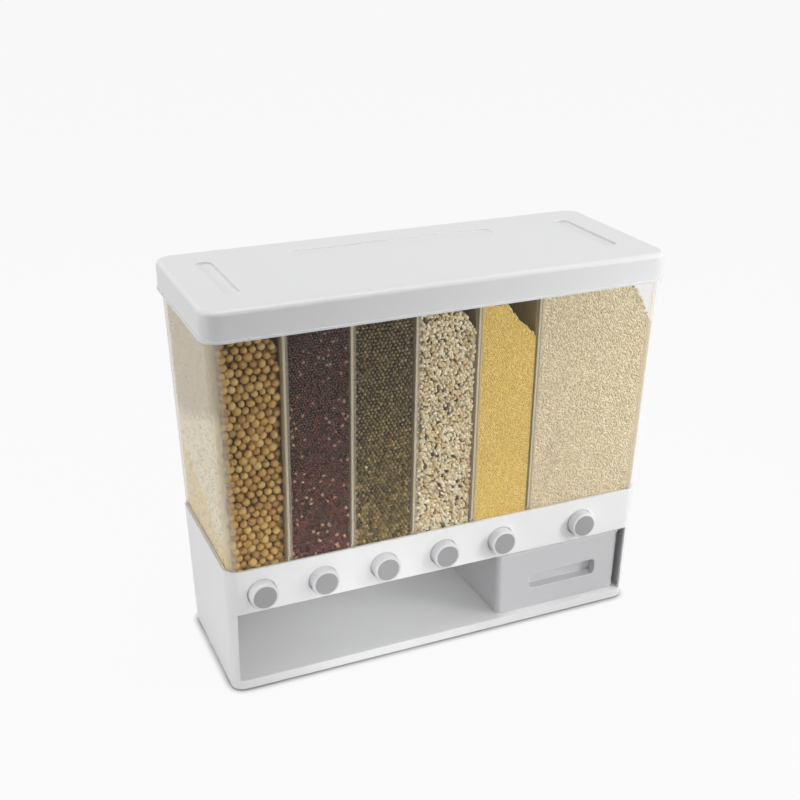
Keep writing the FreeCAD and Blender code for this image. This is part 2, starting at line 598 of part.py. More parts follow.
def make_hopper():
    """Clear shell that tapers down to a spigot in the base, with guide ribs for the dividers."""
    piece = new_body("hopper")

    def level(height, inwards):
        """The hopper's rectangle at a height, less a distance inwards."""
        return centred(hopper_half("width", height, inwards), hopper_half("depth", height, inwards))

    step = "(foot_stand + base_height + hopper_wall)"
    tray(piece, BASE_TOP, step, HOPPER_TOP, level, "hopper_corner", "hopper_wall")

    spigot = new_sketch(piece, "XY_Plane", SPIGOT_BOTTOM)
    spigot_wide = base_half("width", SPIGOT_BOTTOM, "base_wall - spigot_clearance")
    spigot_deep = base_half("depth", SPIGOT_BOTTOM, "base_wall - spigot_clearance")
    spigot_corner = "(base_corner - base_wall - spigot_clearance)"
    centred_rounded(spigot, spigot_wide, spigot_deep, spigot_corner)
    pad(piece, spigot, "spigot_depth")

    mouth = new_sketch(piece, "XY_Plane", SPIGOT_BOTTOM)
    centred_rounded(mouth, "(%s - hopper_wall)" % spigot_wide, "(%s - hopper_wall)" % spigot_deep,
                    "(%s - hopper_wall)" % spigot_corner)
    pocket(piece, mouth, "spigot_depth + hopper_wall", along=True)

    rib_top = "(%s - divider_drop)" % HOPPER_TOP
    rib_low = "(%s - hopper_wall / 2)" % step
    for side in ("left", "right"):
        gap = "(divider_wall / 2 + divider_gap)"
        place = "-(%s + rib_wall)" % gap if side == "left" else gap
        ribs = new_sketch(piece, "YZ_Plane", divider_x(0) + " + " + place)
        for sign in ("-", ""):
            outline(ribs, [
                (sign + hopper_half("depth", rib_low, "hopper_wall / 2"), rib_low),
                (sign + hopper_half("depth", rib_top, "hopper_wall / 2"), rib_top),
                (sign + hopper_half("depth", rib_top, "hopper_wall - rib_depth"), rib_top),
                (sign + hopper_half("depth", rib_low, "hopper_wall - rib_depth"), rib_low)])
        first = pad(piece, ribs, "rib_wall")
        doc.recompute()
        pattern = piece.newObject("PartDesign::LinearPattern", "rib_row")
        pattern.Originals = [first]
        pattern.Direction = (origin_feature(piece, "X_Axis"), [""])
        pattern.Occurrences = DIVIDERS
        pattern.setExpression("Length", bound("%d * divider_pitch" % (DIVIDERS - 1)))
        piece.Tip = pattern
    return piece


def make_divider(index):
    """One divider panel, narrow where it enters the spigot."""
    piece = new_body("divider_%d" % (index + 1))
    step = "(foot_stand + base_height + hopper_wall + divider_gap)"
    foot = "(%s + divider_gap)" % FUNNEL_TOP
    head = "(%s - divider_drop)" % HOPPER_TOP
    narrow = base_half("depth", SPIGOT_BOTTOM, "base_wall - spigot_clearance - hopper_wall - divider_gap")
    wide_low = hopper_half("depth", step, "hopper_wall - divider_gap")
    wide_high = hopper_half("depth", head, "hopper_wall - divider_gap")
    panel = new_sketch(piece, "YZ_Plane", divider_x(index) + " - divider_wall / 2")
    outline(panel, [
        ("-" + narrow, foot), (narrow, foot), (narrow, step), (wide_low, step), (wide_high, head),
        ("-" + wide_high, head), ("-" + wide_low, step), ("-" + narrow, step)])
    pad(piece, panel, "divider_wall")
    return piece


def make_button(index):
    """Push button: a hollow round cap on a square stem, with a neck for the gate's lug."""
    piece = new_body("button_%d" % (index + 1))
    face = "(%s + button_reach)" % base_half("depth", BUTTON_Z)
    neck_front = "(%s + neck_play)" % LUG_FRONT
    neck_back = "(%s - lug_thickness - neck_play)" % LUG_FRONT
    cap = new_sketch(piece, "XZ_Plane", face)
    circle_at(cap, "0", "0", "button_diameter")
    pad(piece, cap, "button_length", reverse=True)
    hollow = new_sketch(piece, "XZ_Plane", "(%s - button_wall)" % face)
    rectangle(hollow, *centred("button_hollow / 2", "button_hollow / 2"))
    pocket(piece, hollow, "button_length - button_wall")
    stem = new_sketch(piece, "XZ_Plane", "(%s - button_wall / 2)" % face)
    rectangle(stem, *centred("stem_width / 2", "stem_width / 2"))
    pad(piece, stem, "%s - button_wall / 2 - %s + stem_end" % (face, neck_back), reverse=True)
    neck = new_sketch(piece, "XZ_Plane", neck_front)
    rectangle(neck, *centred("stem_width", "stem_width"))
    rectangle(neck, *centred("neck_width / 2", "neck_width / 2"))
    pocket(piece, neck, "%s - %s" % (neck_front, neck_back))
    piece.setExpression("Placement.Base.x", bound(button_x(index)))
    piece.setExpression("Placement.Base.z", bound(BUTTON_Z))
    return piece


def make_gate(index):
    """Gate plate with its window one press ahead of the outlet, and a forked lug on the button's neck."""
    piece = new_body("gate_%d" % (index + 1))
    plate = new_sketch(piece, "XY_Plane", GATE_BOTTOM)
    rectangle(plate, "-gate_width / 2", "gate_width / 2", "-" + LUG_FRONT, "gate_tail")
    pad(piece, plate, "gate_wall")
    lug = new_sketch(piece, "XZ_Plane", LUG_FRONT)
    rectangle(lug, "-lug_width / 2", "lug_width / 2", GATE_BOTTOM + " + gate_wall / 2",
              BUTTON_Z + " + stem_width / 2")
    pad(piece, lug, "lug_thickness", reverse=True)
    window = new_sketch(piece, "XY_Plane", GATE_TOP)
    rectangle(window, "-slot_width / 2", "slot_width / 2", "-(slot_length / 2 + button_travel)",
              "slot_length / 2 - button_travel")
    pocket(piece, window, "gate_wall")
    fork = new_sketch(piece, "XZ_Plane", LUG_FRONT)
    half = "(neck_width / 2 + neck_play)"
    rectangle(fork, "-" + half, half, "%s - %s" % (BUTTON_Z, half), BUTTON_Z + " + stem_width")
    pocket(piece, fork, "lug_thickness")
    piece.setExpression("Placement.Base.x", bound(button_x(index)))
    return piece


def make_return_spring(index):
    """Return spring round the stem: a coil whose wire runs in short straight facets."""
    facets = 8
    face = value(base_half("depth", BUTTON_Z)) + value("button_reach")
    front = face - value("button_wall") - value("spring_gap")
    back = value(GUIDE_FRONT) + value("spring_gap")
    wire = value("spring_wire")
    radius = (value("spring_diameter") - wire) / 2
    steps = int(round(facets * value("spring_turns")))
    rise = (front - back - wire) / steps
    middle = FreeCAD.Vector(value(button_x(index)), -front + wire / 2, value(BUTTON_Z))
    sections = []
    for step in range(steps + 1):
        angle = 2 * math.pi * step / facets
        outward = FreeCAD.Vector(math.cos(angle), 0, math.sin(angle)) * (wire / 2)
        along = FreeCAD.Vector(0, wire / 2, 0)
        centre = middle + outward * (2 * radius / wire) + along * (2 * rise * step / wire)
        corners = [centre - outward, centre - along, centre + outward, centre + along]
        sections.append(Part.makePolygon(corners + corners[:1]))
    coil = Part.makeLoft(sections, True, True)
    piece = doc.addObject("Part::Feature", "return_spring_%d" % (index + 1))
    piece.Label = "return_spring_%d" % (index + 1)
    piece.Shape = coil
    return piece


def make_lid():
    """Lid: skirt with a bead, rounded top edge, two finger grips and a rear recess."""
    piece = new_body("lid")
    outer = new_sketch(piece, "XY_Plane", LID_BOTTOM)
    centred_rounded(outer, "(%s / 2)" % SKIRT_WIDTH, "(%s / 2)" % SKIRT_DEPTH, "lid_corner")
    skirt = pad(piece, outer, "lid_height")
    doc.recompute()
    top = value(LID_TOP)
    rim = [name for name, edge in named_edges(skirt) if edge.BoundBox.ZMin > top - 0.001]
    round_edges(piece, skirt, rim, "lid_round")

    bead = new_sketch(piece, "XY_Plane", LID_BOTTOM)
    centred_rounded(bead, "(%s / 2 + lip_reach)" % SKIRT_WIDTH, "(%s / 2 + lip_reach)" % SKIRT_DEPTH,
                    "(lid_corner + lip_reach)")
    pad(piece, bead, "lip_height")

    inner_corner = "(hopper_corner + lid_clearance)"
    cavity = new_sketch(piece, "XY_Plane", LID_BOTTOM)
    centred_rounded(cavity, "(hopper_width_top / 2 + lid_clearance)",
                    "(hopper_depth_top / 2 + lid_clearance)", inner_corner)
    pocket(piece, cavity, "lid_height - lid_plate", along=True)

    backing = new_sketch(piece, "XY_Plane", LID_TOP + " - lid_plate / 2")
    grips = new_sketch(piece, "XY_Plane", LID_TOP)
    for sign in ("-", ""):
        middle = sign + "(%s / 2 - grip_inset)" % SKIRT_WIDTH
        rectangle(backing, *grip_sides(middle, "lid_wall"))
        rounded_rectangle(grips, *grip_sides(middle, "0"), "grip_corner")
    pad(piece, backing, "lid_plate / 2 + grip_depth", reverse=True)
    pocket(piece, grips, "grip_depth")
    groove = new_sketch(piece, "XY_Plane", LID_TOP)
    middle = "(%s / 2 - groove_inset)" % SKIRT_DEPTH
    rounded_rectangle(groove, "-groove_length / 2", "groove_length / 2", middle + " - groove_width / 2",
                      middle + " + groove_width / 2", "groove_corner")
    pocket(piece, groove, "groove_depth")
    return piece


def grip_sides(middle, margin):
    """Left, right, front and back of a finger grip, grown by a margin each way."""
    half_width = "(grip_width / 2 + %s)" % margin
    half_length = "(grip_length / 2 + %s)" % margin
    return ("%s - %s" % (middle, half_width), "%s + %s" % (middle, half_width),
            "grip_shift - " + half_length, "grip_shift + " + half_length)


def make_lid_seal():
    """Seal ring in the lid, over the hopper's rim."""
    piece = new_body("lid_seal")
    ring = new_sketch(piece, "XY_Plane", HOPPER_TOP + " + seal_gap")
    for inwards in ("seal_gap", "seal_width"):
        centred_rounded(ring, "(hopper_width_top / 2 + lid_clearance - %s)" % inwards,
                        "(hopper_depth_top / 2 + lid_clearance - %s)" % inwards,
                        "(hopper_corner + lid_clearance - %s)" % inwards)
    pad(piece, ring, "lid_height - lid_overlap - lid_plate - 2 * seal_gap")
    return piece


def make_measuring_cup():
    """Pull-out cup with spreading walls, a rim bead and a finger recess in its front."""
    piece = new_body("measuring_cup")
    foot = "(%s + cup_gap)" % FLOOR_TOP
    rim = "(%s + cup_gap + cup_height)" % FLOOR_TOP

    def level(height, inwards):
        """The cup's rectangle at a height, less a distance inwards."""
        grow = "(cup_spread * (%s - %s) / cup_height - %s)" % (height, foot, inwards)
        half = "(cup_width / 2 + %s)" % grow
        return ("cup_middle - " + half, "cup_middle + " + half, "-cup_front - " + grow,
                "cup_depth - cup_front + " + grow)

    tray(piece, foot, "(%s + cup_wall)" % foot, rim, level, "cup_corner", "cup_wall")
    bead = new_sketch(piece, "XY_Plane", rim)
    rounded_rectangle(bead, *level(rim, "-cup_rim"), "(cup_corner + cup_rim)")
    inner_half = "(cup_wall / 2)"
    rounded_rectangle(bead, *level(rim, inner_half), "(cup_corner - %s)" % inner_half)
    pad(piece, bead, "cup_rim_height", reverse=True)

    middle = "(cup_middle + pull_shift)"
    height = "(%s + pull_rise)" % foot
    for grow, deep, cut in (("cup_wall", "pull_depth + cup_wall", False), ("0", "pull_depth", True)):
        sketch = new_sketch(piece, "XZ_Plane", "cup_front + cup_spread" if cut else "cup_front")
        half = "(pull_width / 2 + %s)" % grow
        tall = "(pull_height / 2 + %s)" % grow
        rounded_rectangle(sketch, "%s - %s" % (middle, half), "%s + %s" % (middle, half),
                          "%s - %s" % (height, tall), "%s + %s" % (height, tall), "(pull_corner + %s)" % grow)
        if cut:
            pocket(piece, sketch, deep + " + cup_spread")
        else:
            pad(piece, sketch, deep, reverse=True)
    return piece


def stand_at(item, x, y, z, height):
    """Places an upright solid and sets its height by formulas."""
    item.setExpression("Height", bound(height))
    item.setExpression("Placement.Base.x", bound(x))
    item.setExpression("Placement.Base.y", bound(y))
    item.setExpression("Placement.Base.z", bound(z))


def make_rubber_feet():
    """Four rubber pads in their sockets."""
    feet = []
    for place in foot_places():
        left, right, front, back = foot_sides(place, "0")
        foot = doc.addObject("Part::Box", "foot")
        foot.setExpression("Length", bound("foot_width"))
        foot.setExpression("Width", bound("foot_length"))
        stand_at(foot, left, front, "0", "foot_stand + foot_depth")
        feet.append(foot)
    piece = doc.addObject("Part::Compound", "rubber_feet")
    piece.Label = "rubber_feet"
    piece.Links = feet
    return piece


def make_deck_screws():
    """Two screws that hold the valve deck on its bosses."""
    screws = []
    for x, y in screw_places():
        head = doc.addObject("Part::Prism", "screw_head")
        head.Polygon = 6
        head.setExpression("Circumradius", bound("screw_head / 2"))
        stand_at(head, x, y, DECK_TOP, "screw_head_height")
        shank = doc.addObject("Part::Cylinder", "screw_shank")
        shank.setExpression("Radius", bound("screw_diameter / 2"))
        stand_at(shank, x, y, DECK_BOTTOM + " - screw_depth", "deck_wall + screw_depth")
        screw = doc.addObject("Part::Fuse", "screw")
        screw.Base = head
        screw.Tool = shank
        screws.append(screw)
    piece = doc.addObject("Part::Compound", "deck_screws")
    piece.Label = "deck_screws"
    piece.Links = screws
    return piece


def check(pieces):
    """Stops if an object failed to build, a cut removed nothing or a piece has no valid shape."""
    doc.recompute()
    for item in doc.Objects:
        if "Invalid" in item.State or "Error" in item.State:
            raise RuntimeError("%s failed: %s" % (item.Label, item.State))
        if item.TypeId in ("PartDesign::Pocket", "PartDesign::SubtractiveWedge"):
            if not item.Shape.Volume < item.BaseFeature.Shape.Volume - 0.001:
                raise RuntimeError("%s removed nothing" % item.Label)
    for piece in pieces:
        if piece.Shape.isNull() or not piece.Shape.isValid():
            raise RuntimeError("%s has no valid shape" % piece.Label)


def main():
    """Builds every piece, checks it and writes its file."""
    pieces = [make_base_housing(), make_valve_deck(), make_funnel_deck(), make_hopper()]
    pieces += [make_divider(index) for index in range(DIVIDERS)]
    pieces += [make_button(index) for index in range(BUTTONS)]
    pieces += [make_gate(index) for index in range(BUTTONS)]
    pieces += [make_lid(), make_lid_seal(), make_measuring_cup(), make_rubber_feet(), make_deck_screws()]
    doc.recompute()
    pieces += [make_return_spring(index) for index in range(BUTTONS)]
    check(pieces)
    os.makedirs("parts", exist_ok=True)
    for piece in pieces:
        piece.Shape.exportStep("parts/%s.step" % piece.Label)
        print(piece.Label, len(piece.Shape.Solids), "solid", round(piece.Shape.Volume), "mm3")


main()
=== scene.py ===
"""Six-compartment grain dispenser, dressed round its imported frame.

Everything is in metres in the frame's axes: X is the width, the front faces -Y and Z is up from the floor.
"""

from __future__ import annotations

import logging
import math
from dataclasses import dataclass, field, replace
from enum import Enum
from typing import Any, Optional, Sequence

import bmesh
import bpy
import numpy as np
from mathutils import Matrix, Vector

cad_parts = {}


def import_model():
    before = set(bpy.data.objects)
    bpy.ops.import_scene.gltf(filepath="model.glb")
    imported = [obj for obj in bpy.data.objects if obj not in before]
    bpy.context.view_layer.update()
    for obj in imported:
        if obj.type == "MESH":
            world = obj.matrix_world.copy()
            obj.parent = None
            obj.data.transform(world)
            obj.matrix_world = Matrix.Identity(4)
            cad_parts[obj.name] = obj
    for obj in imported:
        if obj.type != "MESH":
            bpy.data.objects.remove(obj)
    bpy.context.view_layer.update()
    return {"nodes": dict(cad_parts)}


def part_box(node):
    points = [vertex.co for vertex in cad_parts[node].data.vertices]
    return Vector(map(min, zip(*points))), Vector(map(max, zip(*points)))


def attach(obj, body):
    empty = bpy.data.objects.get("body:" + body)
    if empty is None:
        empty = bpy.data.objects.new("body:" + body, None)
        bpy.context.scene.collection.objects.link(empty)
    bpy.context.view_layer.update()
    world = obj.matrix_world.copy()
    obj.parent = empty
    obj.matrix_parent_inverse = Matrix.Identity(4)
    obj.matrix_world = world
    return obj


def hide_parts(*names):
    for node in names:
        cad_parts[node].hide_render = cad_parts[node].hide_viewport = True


LOG = logging.getLogger("dispenser")
MM = 0.001

Colour = tuple[float, float, float]
Socket = bpy.types.NodeSocket
Piece = bpy.types.Object

WHITE: Colour = (1.0, 1.0, 1.0)
SQUARE = ((-1, -1), (1, -1), (1, 1), (-1, 1))
DIVIDERS = 5
FIRST_DIVIDER = -132.8 * MM
DIVIDER_PITCH = 52.7 * MM
RIB_HALF = 2.3 * MM
UPWARD = np.array([0.0, 0.0, 1.0])
BACKWARD = np.array([0.0, 1.0, 0.0])


def tone(red: int, green: int, blue: int) -> Colour:
    """A colour given as it looks on a screen, as the linear numbers that the shader takes.

    Args:
        red: From 0 to 255.
        green: From 0 to 255.
        blue: From 0 to 255.

    Returns:
        The three linear numbers.
    """

    def linear(level: int) -> float:
        """One channel, made linear by the usual curve of screens."""
        share = level / 255
        return share / 12.92 if share <= 0.04045 else ((share + 0.055) / 1.055) ** 2.4

    return linear(red), linear(green), linear(blue)


def darker(colour: Colour, share: float) -> Colour:
    """The colour with each number at a share of itself."""
    return colour[0] * share, colour[1] * share, colour[2] * share


def unit(rows: np.ndarray) -> np.ndarray:
    """Directions, one to a row, made one long."""
    return rows / np.linalg.norm(rows, axis=1, keepdims=True)


class Body(Enum):
    """The frame's bodies that pieces ride on."""

    BASE = "base"
    LID = "lid_body"
    CUP = "cup_body"


class TreeBench:
    """A node tree, put together step by step."""

    def __init__(self, tree: bpy.types.NodeTree) -> None:
        """Starts with an empty tree."""
        self.tree = tree
        self.tree.nodes.clear()

    def add(self, kind: str, **settings: Any) -> bpy.types.Node:
        """A new node with its settings.

        Args:
            kind: The node's type.
            **settings: Its attributes.

        Returns:
            The node.
        """
        node = self.tree.nodes.new(kind)
        for name, setting in settings.items():
            setattr(node, name, setting)
        return node

    def join(self, source: Socket, target: Socket) -> None:
        """Links two sockets."""
        self.tree.links.new(source, target)

    def combine(self, operation: str, *terms: Any) -> Socket:
        """Numbers combined.

        Args:
            operation: The sum to do.
            *terms: The numbers, plain or from a node.

        Returns:
            The result.
        """
        node = self.add("ShaderNodeMath", operation=operation)
        for term, socket in zip(terms, node.inputs):
            if isinstance(term, float):
                socket.default_value = term
            else:
                self.join(term, socket)
        return node.outputs[0]

    def blend(self, share: Socket, first: Socket, second: Socket) -> Socket:
        """Two shaders mixed.

        Args:
            share: The share of the second.
            first: The one at 0.
            second: The one at 1.

        Returns:
            The mixed shader.
        """
        node = self.add("ShaderNodeMixShader")
        for source, socket in zip((share, first, second), node.inputs):
            self.join(source, socket)
        return node.outputs["Shader"]

    def seen_directly(self) -> Socket:
        """Tells rays from the camera, and those that gloss or glass sends on, from the rest.

        Returns:
            1 on them and 0 on the rest.
        """
        path = self.add("ShaderNodeLightPath")
        total = path.outputs["Is Camera Ray"]
        for name in ("Is Glossy Ray", "Is Transmission Ray"):
            total = self.combine("MAXIMUM", total, path.outputs[name])
        return total


class NodeBench(TreeBench):
    """A material's node tree."""

    def __init__(self, name: str) -> None:
        """Starts a material with one plain shader.

        Args:
            name: The material's name.
        """
        self.material = bpy.data.materials.new(name)
        self.material.use_nodes = True
        super().__init__(self.material.node_tree)
        self.shader = self.add("ShaderNodeBsdfPrincipled")
        self.output = self.add("ShaderNodeOutputMaterial")
        self.join(self.shader.outputs["BSDF"], self.output.inputs["Surface"])
        self.place = self.add("ShaderNodeTexCoord").outputs["Object"]

    def feed(self, name: str, value: Any) -> None:
        """Sets one of the shader's sockets, with a plain number or from a node."""
        if isinstance(value, float):
            self.shader.inputs[name].default_value = value
        else:
            self.join(value, self.shader.inputs[name])

    def noise(self, scale: float, detail: float = 3.0, stretch: Optional[Colour] = None) -> Socket:
        """Noise over the piece's own place.

        Args:
            scale: Lumps to a metre.
            detail: Finer octaves.
            stretch: How much finer the lumps are along each axis.

        Returns:
            The noise's strength.
        """
        node = self.add("ShaderNodeTexNoise")
        node.inputs["Scale"].default_value = scale
        node.inputs["Detail"].default_value = detail
        source = self.place
        if stretch is not None:
            mapping = self.add("ShaderNodeMapping")
            mapping.inputs["Scale"].default_value = stretch
            self.join(self.place, mapping.inputs["Vector"])
            source = mapping.outputs["Vector"]
        self.join(source, node.inputs["Vector"])
        return node.outputs["Fac"]

    def ramp(self, factor: Socket, stops: Sequence[tuple[float, Colour]]) -> Socket:
        """Colours read off a scale.

        Args:
            factor: Where on the scale.
            stops: Place and colour of each stop, in order.

        Returns:
            The colour.
        """
        node = self.add("ShaderNodeValToRGB")
        points = node.color_ramp.elements
        while len(points) < len(stops):
            points.new(0.5)
        for point, (position, colour) in zip(points, stops):
            point.position = position
            point.color = (*colour, 1.0)
        self.join(factor, node.inputs["Fac"])
        return node.outputs["Color"]

    def mottled(self, factor: Socket, colour: Colour, share: float,
                start: float = 0.3, end: float = 0.7) -> Socket:
        """A colour that is darker where a factor is low.

        Args:
            factor: What it follows.
            colour: The colour at the end.
            share: What share of itself it has at the start.
            start: The factor's value where it is darkest.
            end: The factor's value where it is whole.

        Returns:
            The colour.
        """
        return self.ramp(factor, [(start, darker(colour, share)), (end, colour)])

    def spread(self, factor: Socket, low: float, high: float, start: float = 0.3, end: float = 0.7) -> Socket:
        """A number that follows a factor between two limits.

        Args:
            factor: What it follows.
            low: Its value at the start.
            high: Its value at the end.
            start: The factor's value at the low limit.
            end: The factor's value at the high limit.

        Returns:
            The number.
        """
        node = self.add("ShaderNodeMapRange")
        for name, number in (("From Min", start), ("From Max", end), ("To Min", low), ("To Max", high)):
            node.inputs[name].default_value = number
        self.join(factor, node.inputs["Value"])
        return node.outputs["Result"]

    def uneven_gloss(self, factor: Socket, middle: float, swing: float) -> None:
        """Sets a roughness that swings either way of a middle as a factor goes."""
        self.feed("Roughness", self.spread(factor, middle - swing, middle + swing))

    def mix(self, first: Socket, second: Socket, factor: Optional[Socket] = None,
            blend: str = "MIX") -> Socket:
        """Two colours mixed.

        Args:
            first: The colour at 0.
            second: The colour at 1.
            factor: Share of the second, which is whole without it.
            blend: How they mix.

        Returns:
            The mixed colour.
        """
        node = self.add("ShaderNodeMix", data_type="RGBA", blend_type=blend)
        node.inputs[0].default_value = 1.0
        if factor is not None:
            self.join(factor, node.inputs[0])
        self.join(first, node.inputs[6])
        self.join(second, node.inputs[7])
        return node.outputs[2]

    def roughen(self, height: Socket, depth: float, strength: float = 1.0) -> None:
        """Gives the shader a bump.

        Args:
            height: The bump's height, from 0 to 1.
            depth: What a height of 1 is, in metres.
            strength: How much of it shows.
        """
        node = self.add("ShaderNodeBump")
        node.inputs["Distance"].default_value = depth
        node.inputs["Strength"].default_value = strength
        self.join(height, node.inputs["Height"])
        self.feed("Normal", node.outputs["Normal"])

    def part(self, source: Socket, axis: str) -> Socket:
        """One axis of a place or a direction.

        Args:
            source: The place or direction.
            axis: The axis.

        Returns:
            The number along it.
        """
        node = self.add("ShaderNodeSeparateXYZ")
        self.join(source, node.inputs[0])
        return node.outputs[axis]

    def facing(self, axis: str) -> Socket:
        """How squarely the surface faces an axis, either way."""
        normal = self.add("ShaderNodeNewGeometry").outputs["Normal"]
        return self.combine("ABSOLUTE", self.part(normal, axis))

    def own_number(self) -> Socket:
        """A number from 0 to 1 that each separate grain of a mesh has for itself."""
        return self.add("ShaderNodeNewGeometry").outputs["Random Per Island"]

    def above(self, line: Boundary) -> Socket:
        """1 above a line on a side wall and 0 below it.

        Args:
            line: The line.

        Returns:
            The number.
        """
        back, up = self.part(self.place, "Y"), self.part(self.place, "Z")
        tilt = self.combine("MULTIPLY_ADD", back, -line.slope, up)
        wave = self.combine("MULTIPLY_ADD", self.noise(line.lumps), line.ragged, tilt)
        middle = line.height + line.ragged / 2
        return self.spread(wave, 0.0, 1.0, middle - line.edge / 2, middle + line.edge / 2)

    def grain_skin(self, colour: Socket, own: Socket, roughness: float, depth: float) -> bpy.types.Material:
        """The material of dry grains.

        Args:
            colour: Their colour.
            own: Each grain's own number.
            roughness: Their middling roughness.
            depth: Depth of the skin's bumps.

        Returns:
            The finished material.
        """
        self.feed("Base Color", colour)
        self.feed("Roughness", self.spread(own, roughness - 0.08, roughness + 0.1, 0.0, 1.0))
        self.roughen(self.noise(1400.0, 2.0), depth, 0.5)
        return self.material


@dataclass(frozen=True)
class Boundary:
    """A slanting, ragged line between two layers of grain on a side wall.

    The height is that in the middle of the wall, the slope is the rise to a metre towards the back, and the
    edge is the height over which the line fades. Noise moves it by up to half its raggedness either way.
    """

    height: float
    slope: float
    edge: float
    ragged: float
    lumps: float = 60.0


@dataclass(frozen=True)
class MouldedPlastic:
    """Opaque moulded plastic with faint mottling, a fine skin and slightly uneven gloss."""

    name: str
    slot: str
    colour: Colour
    roughness: float = 0.34
    mottle: float = 0.965
    mottle_scale: float = 26.0
    skin_depth: float = 0.002 * MM
    skin_scale: float = 900.0
    skin_shown: float = 0.3
    uneven: float = 0.02
    uneven_scale: float = 140.0
    specular: float = 0.32

    def material(self) -> bpy.types.Material:
        """Builds the finish.

        Returns:
            Its material.
        """
        bench = NodeBench(self.name)
        cloud = bench.noise(self.mottle_scale, 2.0)
        bench.feed("Base Color", bench.mottled(cloud, self.colour, self.mottle, 0.35, 0.65))
        bench.uneven_gloss(bench.noise(self.uneven_scale), self.roughness, self.uneven)
        bench.feed("Specular IOR Level", self.specular)
        bench.roughen(bench.noise(self.skin_scale, 2.0), self.skin_depth, self.skin_shown)
        return bench.material


@dataclass(frozen=True)
class ClearPlastic:
    """See-through moulded plastic, more opaque at grazing angles, whose corners and cut edges can be drawn
    more opaque too; on the corners this paler plastic is a painted highlight.
    """

    name: str
    slot: str
    colour: Colour
    veil: float
    edge_veil: float
    roughness: float = 0.12
    uneven: float = 0.03
    mottle_scale: float = 30.0
    painted_corner_highlight: float = 0.0
    edge_colour: Optional[Colour] = None
    edge_cover: float = 0.0
    rib_veil: float = 0.0
    falloff: float = 3.0

    def material(self) -> bpy.types.Material:
        """Builds the finish.

        Returns:
            Its material.
        """
        bench = NodeBench(self.name)
        colours = bench.mottled(bench.noise(self.mottle_scale, 2.0), self.colour, 0.985)
        if self.edge_colour is not None:
            light = bench.mottled(bench.noise(self.mottle_scale, 2.0), self.edge_colour, 0.97)
            colours = bench.mix(colours, light, self.cut_edge(bench, 1.0))
        bench.feed("Base Color", colours)
        bench.uneven_gloss(bench.noise(90.0), self.roughness, self.uneven)
        turned = bench.add("ShaderNodeLayerWeight")
        turned.inputs["Blend"].default_value = 0.5
        grazing = bench.combine("POWER", turned.outputs["Facing"], self.falloff)
        veil = bench.spread(grazing, self.veil, self.edge_veil, 0.0, 0.5)
        if self.rib_veil:
            veil = bench.combine("ADD", veil, self.ribs(bench))
        if self.edge_cover:
            veil = bench.combine("ADD", veil, self.cut_edge(bench, self.edge_cover))
        # Painted highlight: the rounded corners, facing partly along X and partly along Y, are drawn more
        # opaque and so paler.
        if self.painted_corner_highlight:
            diagonal = bench.combine("MULTIPLY", bench.facing("X"), bench.facing("Y"))
            veil = bench.combine("ADD", veil, bench.spread(diagonal, 0.0, self.painted_corner_highlight, 0.1, 0.5))
        bench.feed("Alpha", veil)
        bench.roughen(bench.noise(40.0, 2.0), 0.04 * MM, 0.3)
        return bench.material

    def cut_edge(self, bench: NodeBench, most: float) -> Socket:
        """A number that rises to its most where the surface faces the front or the back."""
        return bench.spread(bench.facing("Y"), 0.0, most, 0.5, 0.9)

    def ribs(self, bench: NodeBench) -> Socket:
        """The thicker plastic where the dividers' ribs stand.

        Args:
            bench: The material's node tree.

        Returns:
            What the ribs add to the veil.
        """
        across = bench.part(bench.place, "X")
        offset = bench.combine("SUBTRACT", across, FIRST_DIVIDER)
        near = bench.combine("PINGPONG", offset, DIVIDER_PITCH / 2)
        strip = bench.spread(near, self.rib_veil, 0.0, RIB_HALF * 0.85, RIB_HALF * 1.15)
        last = FIRST_DIVIDER + (DIVIDERS - 1) * DIVIDER_PITCH
        start = bench.combine("GREATER_THAN", across, FIRST_DIVIDER - 2 * RIB_HALF)
        end = bench.combine("LESS_THAN", across, last + 2 * RIB_HALF)
        return bench.combine("MULTIPLY", strip, bench.combine("MULTIPLY", start, end))


@dataclass(frozen=True)
class SoftRubber:
    """Matt rubber with a dusty bloom."""

    name: str
    slot: str
    colour: Colour
    bloom: Colour

    def material(self) -> bpy.types.Material:
        """Builds the finish.

        Returns:
            Its material.
        """
        bench = NodeBench(self.name)
        bench.feed("Base Color", bench.ramp(bench.noise(220.0, 5.0), [(0.4, self.colour), (0.8, self.bloom)]))
        bench.feed("Roughness", bench.spread(bench.noise(400.0), 0.7, 0.9))
        bench.roughen(bench.noise(1500.0, 3.0), 0.03 * MM, 0.6)
        return bench.material


@dataclass(frozen=True)
class DrawnSteel:
    """Bare steel with fine lines along one axis."""

    name: str
    slot: str
    colour: Colour
    lines: Colour
    roughness: float = 0.32
    uneven: float = 0.08

    def material(self) -> bpy.types.Material:
        """Builds the finish.

        Returns:
            Its material.
        """
        bench = NodeBench(self.name)
        streaks = bench.noise(500.0, 2.0, self.lines)
        bench.feed("Base Color", bench.mottled(streaks, self.colour, 0.8))
        bench.feed("Metallic", 1.0)
        bench.uneven_gloss(streaks, self.roughness, self.uneven)
        bench.roughen(streaks, 0.01 * MM, 0.5)
        return bench.material


